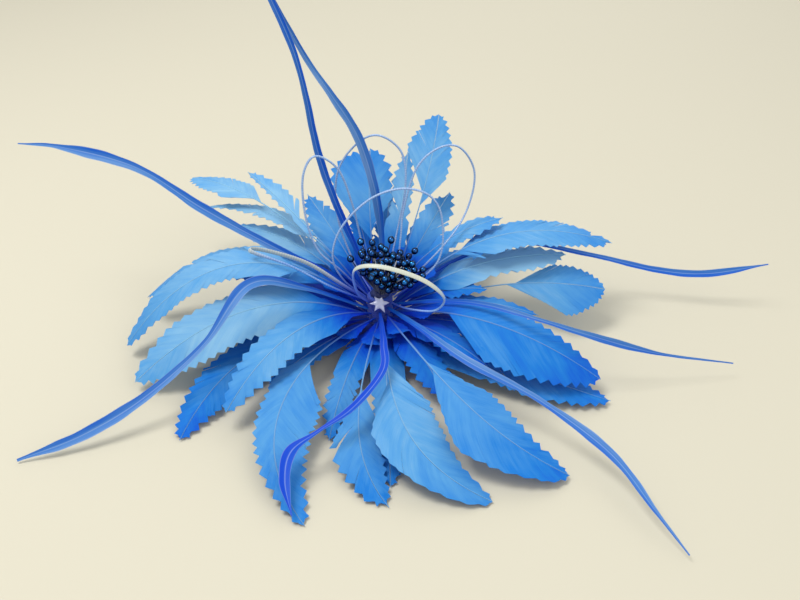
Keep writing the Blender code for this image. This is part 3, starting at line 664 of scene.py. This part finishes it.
def add_web(shape, vane):
    """Short down beside the quill near the binding."""
    rng = np.random.default_rng(vane.seed + 500)
    start = np.arange(WEB_START, WEB_FADES[1], WEB_ROW)[:, None]
    u = np.linspace(0.0, 1.0, WEB_COLUMNS + 1)
    width = (start - WEB_START) * WEB_SPREAD * (1 - smooth(*WEB_FADES, start))
    width = np.maximum(WEB_LEAST, width * (1 + rng.uniform(-WEB_UNEVEN, WEB_UNEVEN, start.shape)))
    lateral = width * u
    t = (start + lateral * 0.8) / vane.length
    point, _, side, normal = quill_axes(vane.row, t)
    height = -VANE_DROP * lateral - 0.05 + 0.25 * np.sin(start * 0.6 + vane.seed) * u**2
    middle = point + side * (lateral * vane.sign)[..., None] + normal * height[..., None]
    half = normal * (VANE_THICKNESS / 2 * (1 - 0.5 * u))[None, :, None]
    barb = vectors(u, start + vane.seed * PATTERN_STEP, t * vane.length)
    shape.add_sheet(middle, half, vane.sign < 0, barb, vectors(dye_and_painted_shade(vane.row, middle), 0, 0))


def add_quill(shape, row, length, seed):
    t = np.concatenate([[0.0], np.linspace(0.0, 1.0, QUILL_SECTIONS)])
    point, tangent, side, normal = quill_axes(row, t)
    point[0] -= tangent[0] * QUILL_ROOT
    width, height = (half * (1 - QUILL_TAPER * t**0.9) for half in QUILL_HALF)
    rings = ring_points(point + normal * QUILL_LIFT, side, normal, width, height, QUILL_SIDES)
    rings[..., 2] = np.maximum(rings[..., 2], FLOOR_CLEARANCE)
    pale = 1 - 0.5 * smooth(*QUILL_FADES, t)[:, None]
    barb = vectors(0, t * length + seed * PATTERN_STEP, 0)[:, None]
    shape.add_tube(rings, barb, vectors(dye_and_painted_shade(row, rings), pale, 0))


def make_feather(name, row, seed, material):
    length, shape = quill_length(row), Shape()
    scale, gape = TEETH_SCALES.get(name, 1.0), SPLIT_GAPES.get(name, PLAIN_GAPE)
    left_depth, right_depth = TEETH_SHARES.get(name, (1.0, 1.0))
    for sign, full, bare, depth in ((1, row.left, row.bare_left, left_depth),
                                    (-1, row.right, row.bare_right, right_depth)):
        vane = Vane(row, sign, full, bare, length, scale, depth, gape, seed * 2 + (sign > 0))
        add_vane(shape, vane)
        add_web(shape, vane)
    add_quill(shape, row, length, seed)
    piece("cut_feather_" + name, shape, material, "feather_" + name, 50)


# Strips


def make_strip(name, row, seed, material):
    """Thin ribbon folded along its midrib, with a raised rib and slightly uneven edges."""
    rng = np.random.default_rng(seed)
    t = np.linspace(0.0, 1.0, STRIP_SECTIONS)
    point, tangent = through([on_binding(row.ring, row.leaves)] + [place(*p) for p in row.points], t)
    faces = direction(*row.faces)
    normal = unit(faces - tangent * (tangent @ faces)[:, None])
    side = np.cross(normal, tangent)
    run, half = curve_length(point)[:, None], along(row.widths, t)[:, None] / 2
    v = np.linspace(-1.0, 1.0, STRIP_COLUMNS + 1)
    uneven = sum(STRIP_UNEVEN * np.sin(run / (2.2 + 3.1 * k) + rng.uniform(0, TURN, 2)) for k in range(4))
    edge = np.where(v < 0, uneven[:, :1], uneven[:, 1:])
    across = v * half * (1 + edge * np.abs(v) ** 3)
    height = np.abs(v) * half * STRIP_FOLD - STRIP_SINK
    middle = point[:, None] + side[:, None] * across[..., None] + normal[:, None] * height[..., None]
    rib_height, rib_width = STRIP_RIB
    rib = rib_height * np.exp(-(v / rib_width) ** 2) * np.minimum(1, half / 2)
    thick = (STRIP_THICKNESS / 2 * (1 - 0.5 * np.abs(v)) + rib / 2) * np.minimum(1, 0.35 + half)
    shape = Shape()
    shape.add_sheet(middle, normal[:, None] * thick[..., None], False, vectors(v, run, seed * 1.7),
                    vectors(smooth(*STRIP_FADES, run), row.tone, 0))
    piece("folded_strip_" + name, shape, material, "strip_" + name, 50)


# Loops


def make_loop(name, row, seed, material):
    """Flat stripped quill with a rib all round at each step of its pitch."""
    ends = [on_binding("loops", azimuth, LOOP_SIDE_GAP) for azimuth in (row.leaves, row.returns)]
    points = np.array([ends[0]] + [place(*p) for p in row.points] + [ends[1]])
    middle = points.mean(0)
    flat = unit(np.cross(points - middle, np.roll(points, -1, 0) - middle).sum(0))
    even = np.linspace(0, 1, 400)
    rough = curve_length(through(points, even)[0])
    sections = int(rough[-1] / RIB_PITCH) * RIB_SECTIONS + 1
    t = np.interp(np.linspace(0, rough[-1], sections), rough, even)
    point, tangent = through(points, t)
    side = unit(flat - tangent * (tangent @ flat)[:, None])
    rib = 0.5 + 0.5 * np.cos(np.arange(sections) * 2 * math.pi / RIB_SECTIONS)
    rib_depth, cream = LOOP_LOOKS.get(name, PLAIN_LOOP_LOOK)
    root_width, root_thickness = LOOP_ROOT
    arch, returning = np.sin(math.pi * t), smooth(*LOOP_NARROWS, t)
    wide = row.width / 2 * (root_width + (1 - root_width) * arch) * (1 - (1 - row.narrow) * returning)
    wide = wide * (1 - rib_depth * rib)
    thick = LOOP_THICKNESS / 2 * (1 - 2 * rib_depth * rib)
    thick = thick * (root_thickness + (1 - root_thickness) * arch)
    rings = ring_points(point, side, np.cross(tangent, side), wide, thick, LOOP_SIDES)
    starts = smooth(*CREAM_STARTS[name], t) if name in CREAM_STARTS else 1.0
    cream = cream * (1 - returning * (row.narrow < 1)) * starts
    run = curve_length(point)
    # blue near the ends at the binding: partly dyed colour and partly painted shade
    out = smooth(*LOOP_FADES, np.minimum(run, run[-1] - run)) * (0.35 + 0.65 * starts)
    # look: blue near the binding, painted shade in the grooves between ribs, and how cream it is
    tube_piece("ribbed_loop_" + name, rings, material, "quill_white", "loop_" + name, 60,
               barb=vectors(0, run, seed)[:, None],
               look=vectors(out, rib * min(1.0, rib_depth * 7), cream)[:, None])


# Stamens


def stamen_lines():
    """Start, end and direction of each stem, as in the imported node."""
    golden = 180 * (3 - math.sqrt(5))
    low = math.cos(math.radians(STAMEN_SPREAD))
    turn = rotation(STAMEN_LEAN[1], "Y") @ rotation(STAMEN_LEAN[0], "X")
    aside, above, lift = STEM_FOOT
    for i in range(STAMENS):
        rise = low + (1 - low) * (i + 0.5) / STAMENS
        aim = turn @ direction(golden * i, math.degrees(math.asin(rise)))
        out = aim * CUSHION_RADIUS * np.array([aside, aside, above])
        start = UP * (BINDING_TOP + SEAT_GAP) + out + UP * lift
        yield start, start + aim * STAMEN_LENGTHS[i % len(STAMEN_LENGTHS)], aim


def ball(centre, aim, radius, long_radius, segments=20, rings=12):
    """Rings of a slightly long or flat round bead with its poles along its stem."""
    side, normal = axes(aim[None], np.zeros(1))
    angle = np.linspace(0.06, math.pi - 0.06, rings)
    middle = centre - aim * (np.cos(angle) * long_radius)[:, None]
    size = np.sin(angle) * radius
    return ring_points(middle, np.repeat(side, rings, 0), np.repeat(normal, rings, 0), size, size, segments)


def inner_stamens():
    """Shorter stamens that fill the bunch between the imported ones."""
    lines = list(stamen_lines())
    for step in INNER_STEPS:
        for k, ((start, _, aim), (_, _, other)) in enumerate(zip(lines, lines[step:])):
            between = unit(aim * INNER_LEAN + other * (1 - INNER_LEAN))
            yield start, start + between * INNER_LENGTHS[(k + step) % len(INNER_LENGTHS)], between


def make_stamens(pearl, stem):
    rng = np.random.default_rng(5)
    beads, stems = Shape(), Shape()
    inward, down = STEM_ROOT
    for start, end, aim in [*stamen_lines(), *inner_stamens()]:
        bend = rng.normal(0, STEM_BEND, 3)
        root = start * np.array([inward, inward, 1.0]) - UP * down
        t = np.linspace(0, 1, STEM_SECTIONS)
        point, tangent = through([root, (start + end) / 2 + bend, end], t)
        side, normal = axes(tangent, np.zeros(len(t)))
        size = np.full(len(t), STEM_RADIUS)
        stems.add_tube(ring_points(point, side, normal, size, size, STEM_SIDES),
                       look=vectors(rng.uniform(), 1 - smooth(*STEM_FADES, t), 0)[:, None])
        tint = rng.uniform(size=3)
        radius = BEAD_RADIUS * rng.uniform(*BEAD_SIZES)
        beads.add_tube(ball(end, aim, radius, radius * BEAD_LENGTH), look=tint)
        tip_place, tip_radius, tip_height = BEAD_TIP
        beads.add_tube(ball(end + aim * radius * tip_place, aim, tip_radius, tip_height, 10, 6), look=tint)
    piece("pearl_beads", beads, pearl, "stamens", 70)
    piece("stamen_stems", stems, stem, "stamens", 70)


def make_knot(material):
    """Low domed cushion at the foot of the stamens."""
    slope, around = np.radians(np.linspace(0, 84, 14)), circle(48)
    height = BINDING_TOP + SEAT_GAP + CUSHION_RADIUS * CUSHION_FLATNESS * np.sin(slope)
    lumps = 1 + 0.05 * np.sin(around * 11) * np.cos(slope)[:, None]
    rings = turned((CUSHION_RADIUS * np.cos(slope))[:, None] * lumps, height, around)
    tube_piece("stamen_knot", rings, material, "pearl_navy", "stamens", 70)


# Glue, binding, pad and clip


def dab_reach(angle):
    """Reach at each angle, in degrees, of the straight edges between the dab's points and valleys."""
    corners = []
    for (at, reach), (after, _) in zip(DAB_ARMS, DAB_ARMS[1:] + DAB_ARMS[:1]):
        corners += [(at, reach), (at + (after - at) % 360 / 2, DAB_VALLEY)]
    first, reach = corners[0]
    at, reach = np.array(corners + [(first + 360, reach)]).T
    angle = (angle - first) % 360 + first
    i = np.searchsorted(at, angle, side="right") - 1
    past, before = np.radians(angle - at[i]), np.radians(at[i + 1] - angle)
    return (reach[i] * reach[i + 1] * np.sin(past + before)
            / (reach[i] * np.sin(past) + reach[i + 1] * np.sin(before)))


def make_dab(material):
    """Uneven star of set glue with a rounded top, tilted over the front edge of the binding."""
    tilt = rotation(DAB_SLOPE, "X")
    normal = tilt @ UP
    centre = np.array([0, -BINDING_RADIUS, BINDING_TOP]) + normal * SEAT_GAP - tilt[:, 1] * DAB_LOW
    angle = circle(144)
    reach = dab_reach(np.degrees(angle)) * (1 - 0.05 * (0.5 + 0.5 * np.sin(angle * 13 + 1.0)))
    flat = vectors(np.cos(angle) * reach, np.sin(angle) * reach, 0) @ tilt.T
    share, lift = np.array(DAB_PROFILE).T[..., None, None]
    rings = centre + share * flat + normal * lift * DAB_THICKNESS
    tube_piece("glue_star", rings, material, "clear_glue", "glue_dab", 80)


def make_thread(material):
    """Thread wound round the bundle from its foot to its top."""
    turns = BINDING_HEIGHT / THREAD_PITCH
    steps = int(turns * THREAD_STEPS)
    t = np.linspace(0, 1, steps)
    height = BINDING_BOTTOM + 0.3 + t * (BINDING_HEIGHT - 0.7)
    angle = t * turns * 2 * math.pi
    radius = BINDING_WAIST + 0.28 + 0.05 * np.sin(angle * 0.37) + 0.04 * np.sin(angle * 1.71)
    side = vectors(np.cos(angle), np.sin(angle), 0)
    point = side * radius[:, None] + UP * height[:, None]
    tangent = unit(np.gradient(point, axis=0))
    size = np.full(steps, THREAD_RADIUS)
    tube_piece("wound_thread", ring_points(point, side, np.cross(tangent, side), size, size, 6),
               material, "thread_blue", None, 70, barb=vectors(0, angle, t)[:, None])


def make_core(material):
    """Bundle of quill ends inside the thread."""
    height, radius = np.array(CORE_PROFILE).T
    around = circle(72)
    rings = turned(radius[:, None] * (1 + 0.012 * np.sin(around * 19)), BINDING_BOTTOM + height, around)
    tube_piece("quill_bundle", rings, material, "thread_blue", "binding", 50)


def make_pad(material):
    """Felt disc with a soft edge and an uneven outline."""
    rng, around = np.random.default_rng(11), circle(120)
    share, lift = np.array(PAD_PROFILE).T
    wobble = sum(0.004 * np.sin(around * k + rng.uniform(0, TURN)) for k in (5, 9, 14, 23))
    rings = turned(PAD_RADIUS * share[:, None] * (0.995 + wobble), PAD_BOTTOM + PAD_THICKNESS * lift, around)
    tube_piece("felt_disc", rings, material, "felt_blue", "felt_pad", 60)


def make_clip(material):
    """Flat bar with round ends and softened edges."""
    nose, per_end = CLIP_WIDTH / 2, 24
    angle = np.radians(np.linspace(-90, 90, per_end))
    right = vectors(np.cos(angle), np.sin(angle), 0)
    outline = np.concatenate([right, -right])
    ends = np.repeat([CLIP_LENGTH / 2 - nose, nose - CLIP_LENGTH / 2], per_end)
    rings = [outline * (nose - inset) + vectors(ends, 0, height) for inset, height in CLIP_PROFILE]
    tube_piece("clip_bar", np.array(rings), material, "clip_steel", "hair_clip", 35)


# Materials


def srgb(r, g, b):
    """Linear colour with alpha from 0 to 255 screen values."""
    def line(c):
        c /= 255
        return c / 12.92 if c <= 0.04045 else ((c + 0.055) / 1.055) ** 2.4
    return (line(r), line(g), line(b), 1.0)


BLACK = srgb(0, 0, 0)
WHITE = srgb(255, 255, 255)


class Nodes:
    """A material and the nodes of its shader."""

    def __init__(self, name):
        self.material = bpy.data.materials.new(name)
        self.material.use_nodes = True
        self.tree = self.material.node_tree
        self.shader = self.tree.nodes["Principled BSDF"]

    def link(self, source, target):
        self.tree.links.new(source, target)

    def new(self, kind, **values):
        node = self.tree.nodes.new(kind)
        for key, value in values.items():
            setattr(node, key, value)
        return node

    def field(self, name):
        node = self.new("ShaderNodeAttribute", attribute_name=name)
        parts = self.new("ShaderNodeSeparateXYZ")
        self.link(node.outputs["Vector"], parts.inputs[0])
        return node.outputs["Vector"], parts.outputs

    def feed(self, socket, value):
        """Set a socket to a value or link it to another node's output."""
        if isinstance(value, (int, float, tuple)):
            socket.default_value = value
        else:
            self.link(value, socket)

    def made(self, kind, inputs, output, **values):
        """Output of a new node with its inputs fed."""
        node = self.new(kind, **values)
        for key, value in inputs.items():
            self.feed(node.inputs[key], value)
        return node.outputs[output]

    def spot(self):
        return self.new("ShaderNodeTexCoord").outputs["Object"]

    def math(self, operation, *values):
        return self.made("ShaderNodeMath", dict(enumerate(values)), 0, operation=operation)

    def vary(self, value, pattern, depth):
        """Value with a pattern that runs about a half added to it, at a depth."""
        return self.math("ADD", value, self.math("MULTIPLY", self.math("SUBTRACT", pattern, 0.5), depth))

    def scaled(self, vector, scale):
        return self.made("ShaderNodeVectorMath", {0: vector, 1: scale}, 0, operation="MULTIPLY")

    def noise(self, vector, scale=1.0, detail=3.0, roughness=0.55):
        inputs = {"Vector": vector, "Scale": scale, "Detail": detail, "Roughness": roughness}
        return self.made("ShaderNodeTexNoise", inputs, "Fac")

    def ramp(self, value, stops):
        node = self.new("ShaderNodeValToRGB")
        self.link(value, node.inputs[0])
        elements = node.color_ramp.elements
        while len(elements) < len(stops):
            elements.new(0.5)
        for element, (at, colour) in zip(elements, stops):
            element.position, element.color = at, colour
        return node.outputs["Color"]

    def mix(self, factor, a, b):
        return self.made("ShaderNodeMix", {0: factor, 6: a, 7: b}, 2, data_type="RGBA")

    def bump(self, height, strength, distance):
        inputs = {"Height": height, "Strength": strength, "Distance": distance}
        self.set(Normal=self.made("ShaderNodeBump", inputs, "Normal"))

    def set(self, **values):
        for key, value in values.items():
            self.feed(self.shader.inputs[key.replace("_", " ")], value)

    def grained(self, grain, bump, dark, light, **values):
        """Finish whose bump and colour, from dark to light, follow one pattern."""
        self.bump(grain, *bump)
        self.set(Base_Color=self.mix(grain, srgb(*dark), srgb(*light)), **values)
        return self.material

    def thin(self, colour, share):
        """Let some light through a thin sheet."""
        glow = self.made("ShaderNodeBsdfTranslucent", {"Color": colour}, 0)
        both = self.made("ShaderNodeMixShader", {0: share, 1: self.shader.outputs[0], 2: glow}, 0)
        self.link(both, self.tree.nodes["Material Output"].inputs["Surface"])


def feather_material():
    """Dyed vane with a fine line for each barb, light quill, deep colour near the binding, partly dyed colour
    and partly painted shade.
    """
    m = Nodes("dyed_feather")
    barb, (_, run, _) = m.field("barb")
    _, (tone, quill, _) = m.field("look")
    fine = m.noise(m.scaled(barb, (0.9, 3.2, 0.0)), detail=2)
    broad = m.noise(m.scaled(barb, (0.6, 0.35, 0.05)), detail=3)
    patch = m.noise(m.scaled(barb, (1.5, 0.09, 0.03)), detail=2)
    value = m.vary(m.vary(m.vary(tone, fine, 0.12), broad, 0.22), patch, 0.24)
    colour = m.ramp(value, [(0.0, srgb(0, 30, 205)), (0.25, srgb(0, 80, 214)), (0.5, srgb(34, 132, 219)),
                            (0.75, srgb(94, 168, 225)), (1.0, srgb(146, 198, 230))])
    pale = m.mix(tone, srgb(4, 62, 194), srgb(158, 212, 236))
    colour = m.mix(m.math("MULTIPLY", quill, 0.85), colour, pale)
    ridge = m.math("SINE", m.math("MULTIPLY", run, 2 * math.pi / 0.55))
    m.bump(m.math("ADD", m.math("MULTIPLY", ridge, 0.35), fine), 0.30, 0.00010)
    m.set(Base_Color=colour, Roughness=0.66, Sheen_Weight=0.04, Sheen_Roughness=0.5,
          Sheen_Tint=srgb(150, 200, 255), Specular_IOR_Level=0.14)
    m.thin(colour, 0.30)
    return m.material


def strip_material():
    """Silky strip, streaked along its length, with painted light making one side lighter and painted
    highlights at its midrib and at its edges.
    """
    m = Nodes("silky_strip")
    barb, (across, _, _) = m.field("barb")
    _, (out, tone, _) = m.field("look")
    streak = m.noise(m.scaled(barb, (5.0, 0.05, 1.0)), detail=3)
    broad = m.noise(m.scaled(barb, (0.8, 0.04, 1.0)), detail=2)
    # painted light: one side of the fold lighter than the other
    value = m.math("ADD", m.math("MULTIPLY", across, 0.14), m.math("MULTIPLY", tone, 0.62))
    value = m.vary(m.vary(value, streak, 0.34), broad, 0.30)
    # darker near the binding: partly dyed colour and partly painted shade
    value = m.math("ADD", value, m.math("MULTIPLY", m.math("SUBTRACT", out, 1.0), 0.22))
    colour = m.ramp(value, [(0.0, srgb(0, 66, 196)), (0.22, srgb(10, 88, 194)),
                            (0.46, srgb(66, 122, 192)), (0.8, srgb(128, 162, 204))])
    # painted highlights along the edges and the midrib, fading near the binding
    edge = m.math("ABSOLUTE", across)
    rim = m.ramp(edge, [(0.86, BLACK), (0.96, WHITE)])
    midrib = m.ramp(edge, [(0.05, WHITE), (0.14, BLACK)])
    line = m.math("MULTIPLY", m.math("MAXIMUM", rim, midrib), m.math("MULTIPLY", out, 0.4))
    colour = m.mix(line, colour, srgb(150, 174, 216))
    m.bump(streak, 0.35, 0.00015)
    m.set(Base_Color=colour, Roughness=0.5, Sheen_Weight=0.03, Sheen_Roughness=0.4,
          Sheen_Tint=srgb(170, 205, 255), Specular_IOR_Level=0.2)
    m.thin(colour, 0.12)
    return m.material


def loop_material():
    """Pale stripped quill, with blue painted shade in the grooves between its ribs, and blue near the
    binding, partly dyed colour and partly painted shade.
    """
    m = Nodes("ribbed_quill")
    barb, _ = m.field("barb")
    _, (out, groove_shade, cream) = m.field("look")
    mottle = m.noise(m.scaled(barb, (1.0, 0.4, 1.0)), detail=2)
    cool = m.mix(mottle, srgb(66, 130, 214), srgb(160, 196, 230))
    warm = m.mix(mottle, srgb(184, 190, 176), srgb(200, 204, 186))
    light = m.mix(cream, cool, warm)
    # painted shade in the grooves between the ribs
    dark = m.mix(cream, srgb(70, 104, 190), srgb(150, 164, 178))
    colour = m.mix(m.math("MULTIPLY", groove_shade, 0.8), light, dark)
    # blue near the binding: partly dyed colour and partly painted shade
    colour = m.mix(m.math("SUBTRACT", 1.0, out), colour, srgb(60, 92, 204))
    m.set(Base_Color=colour, Roughness=0.38, Specular_IOR_Level=0.5, Coat_Weight=0.15, Coat_Roughness=0.3)
    return m.material


def pearl_material():
    """Dark pearl: blue where it faces the eye, nearly black at its rim as painted shade, under a clear gloss.
    """
    m = Nodes("dark_pearl")
    _, (r, g, _) = m.field("look")
    rim = m.made("ShaderNodeLayerWeight", {"Blend": 0.5}, "Facing")
    deep = m.mix(g, srgb(4, 62, 128), srgb(22, 112, 184))
    edge = m.mix(r, srgb(0, 1, 8), srgb(1, 5, 26))
    # painted shade: the rim darkens towards black by facing angle
    painted_rim_shade = m.ramp(rim, [(0.06, BLACK), (0.40, WHITE)])
    m.set(Base_Color=m.mix(painted_rim_shade, deep, edge), Metallic=0.95, Roughness=0.2,
          Specular_Tint=srgb(4, 16, 60), Coat_Weight=0.45, Coat_Roughness=0.04)
    return m.material


def stem_material():
    """Stems grey at the foot and darkened with painted shade towards the beads, a few of them pale."""
    m = Nodes("waxed_stem")
    _, (pale, foot, _) = m.field("look")
    fleck = m.noise(m.spot(), 600.0, 2)
    # dark towards the beads: painted shade among the beads; grey at the foot
    dark = m.mix(fleck, srgb(4, 8, 34), srgb(24, 36, 84))
    dark = m.mix(foot, dark, m.mix(fleck, srgb(92, 98, 116), srgb(168, 168, 164)))
    some = m.ramp(pale, [(0.78, BLACK), (0.84, WHITE)])
    m.set(Base_Color=m.mix(some, dark, srgb(206, 212, 222)), Roughness=0.35)
    return m.material


def knot_material():
    # Dark blue: painted shade at the foot of the stamens
    m = Nodes("stem_knot")
    return m.grained(m.noise(m.spot(), 900.0, 4), (0.5, 0.0003), (6, 14, 60), (40, 56, 120), Roughness=0.55)


def glue_material():
    """Clouded clear glue."""
    m = Nodes("set_glue")
    return m.grained(m.noise(m.spot(), 350.0, 3), (0.35, 0.0004), (168, 180, 226), (232, 234, 248),
                     Roughness=0.14, Transmission_Weight=0.25, Coat_Weight=0.6, Coat_Roughness=0.05, IOR=1.48)


def thread_material():
    """Twisted thread with a little fuzz."""
    m = Nodes("blue_thread")
    barb, (_, turn, _) = m.field("barb")
    twist = m.math("SINE", m.math("MULTIPLY", turn, 60.0))
    fuzz = m.noise(m.scaled(barb, (1.0, 9.0, 1.0)), detail=3)
    m.bump(m.math("ADD", twist, fuzz), 0.4, 0.0001)
    m.set(Base_Color=m.mix(fuzz, srgb(14, 36, 130), srgb(40, 74, 190)), Roughness=0.6, Sheen_Weight=0.2)
    return m.material


def bundle_material():
    m = Nodes("quill_ends")
    grain = m.noise(m.scaled(m.spot(), (1600.0, 1600.0, 90.0)), detail=3)
    return m.grained(grain, (0.5, 0.0003), (12, 34, 128), (56, 96, 200), Roughness=0.6)


def felt_material():
    m = Nodes("blue_felt")
    spot = m.spot()
    fibre = m.noise(m.scaled(spot, (1500.0, 1100.0, 1300.0)), detail=6, roughness=0.7)
    cloud = m.noise(spot, 160.0, 3)
    # Deep blue felt: its own colour, darkened as painted shade of the flower's depth
    colour = m.mix(fibre, srgb(2, 24, 120), srgb(14, 56, 180))
    colour = m.mix(m.math("MULTIPLY", cloud, 0.4), colour, srgb(4, 34, 140))
    m.bump(fibre, 0.7, 0.0005)
    m.set(Base_Color=colour, Roughness=0.95, Sheen_Weight=0.15, Sheen_Roughness=0.6, Specular_IOR_Level=0.1)
    return m.material


def steel_material():
    """Plated steel, brushed along the clip."""
    m = Nodes("plated_steel")
    brushed = m.noise(m.scaled(m.spot(), (60.0, 4000.0, 4000.0)), detail=3)
    rough = m.math("ADD", 0.22, m.math("MULTIPLY", brushed, 0.18))
    return m.grained(brushed, (0.12, 0.0001), (176, 178, 184), (208, 210, 214), Metallic=1.0, Roughness=rough)


# Setting


def make_floor():
    """Plain pale floor."""
    mesh = bpy.data.meshes.new("floor")
    x = y = FLOOR_HALF
    mesh.from_pydata([(-x, -y, 0), (x, -y, 0), (x, y, 0), (-x, y, 0)], [], [(0, 1, 2, 3)])
    floor = bpy.data.objects.new("floor", mesh)
    bpy.context.scene.collection.objects.link(floor)
    m = Nodes("pale_floor")
    m.set(Base_Color=srgb(196, 192, 175), Roughness=0.85, Specular_IOR_Level=0.1)
    mesh.materials.append(m.material)


def make_light(name, light):
    data = bpy.data.lights.new(name, "AREA")
    data.energy, data.size, data.color = light.power, light.size, light.colour
    lamp = bpy.data.objects.new(name, data)
    lamp.location = light.place
    lamp.rotation_euler = (Vector(LIGHTS_AIM) - Vector(light.place)).to_track_quat("-Z", "Y").to_euler()
    bpy.context.scene.collection.objects.link(lamp)


def make_setting():
    make_floor()
    for name, light in LIGHTS.items():
        make_light(name, light)
    world = bpy.data.worlds.new("studio")
    world.use_nodes = True
    sky = world.node_tree.nodes["Background"]
    sky.inputs["Color"].default_value = SKY_COLOUR
    sky.inputs["Strength"].default_value = SKY_STRENGTH
    bpy.context.scene.world = world
    bpy.context.scene.view_settings.view_transform = "Standard"


def make_camera():
    data = bpy.data.cameras.new("camera")
    data.sensor_width, data.lens = SENSOR_WIDTH, LENS
    camera = bpy.data.objects.new("camera", data)
    camera.location = Vector(CAMERA_PLACE) * MM
    camera.rotation_euler = (math.radians(90 - CAMERA_DOWN), 0, 0)
    bpy.context.scene.collection.objects.link(camera)
    bpy.context.scene.camera = camera


def main():
    make_camera()
    make_setting()
    feather = feather_material()
    for seed, (name, row) in enumerate(FEATHERS.items()):
        make_feather(name, row, seed + 1, feather)
    strip = strip_material()
    for seed, (name, row) in enumerate(STRIPS.items()):
        make_strip(name, row, seed + 101, strip)
    quill = loop_material()
    for seed, (name, row) in enumerate(LOOPS.items()):
        make_loop(name, row, seed, quill)
    make_stamens(pearl_material(), stem_material())
    make_knot(knot_material())
    make_dab(glue_material())
    make_thread(thread_material())
    make_core(bundle_material())
    make_pad(felt_material())
    make_clip(steel_material())


main()
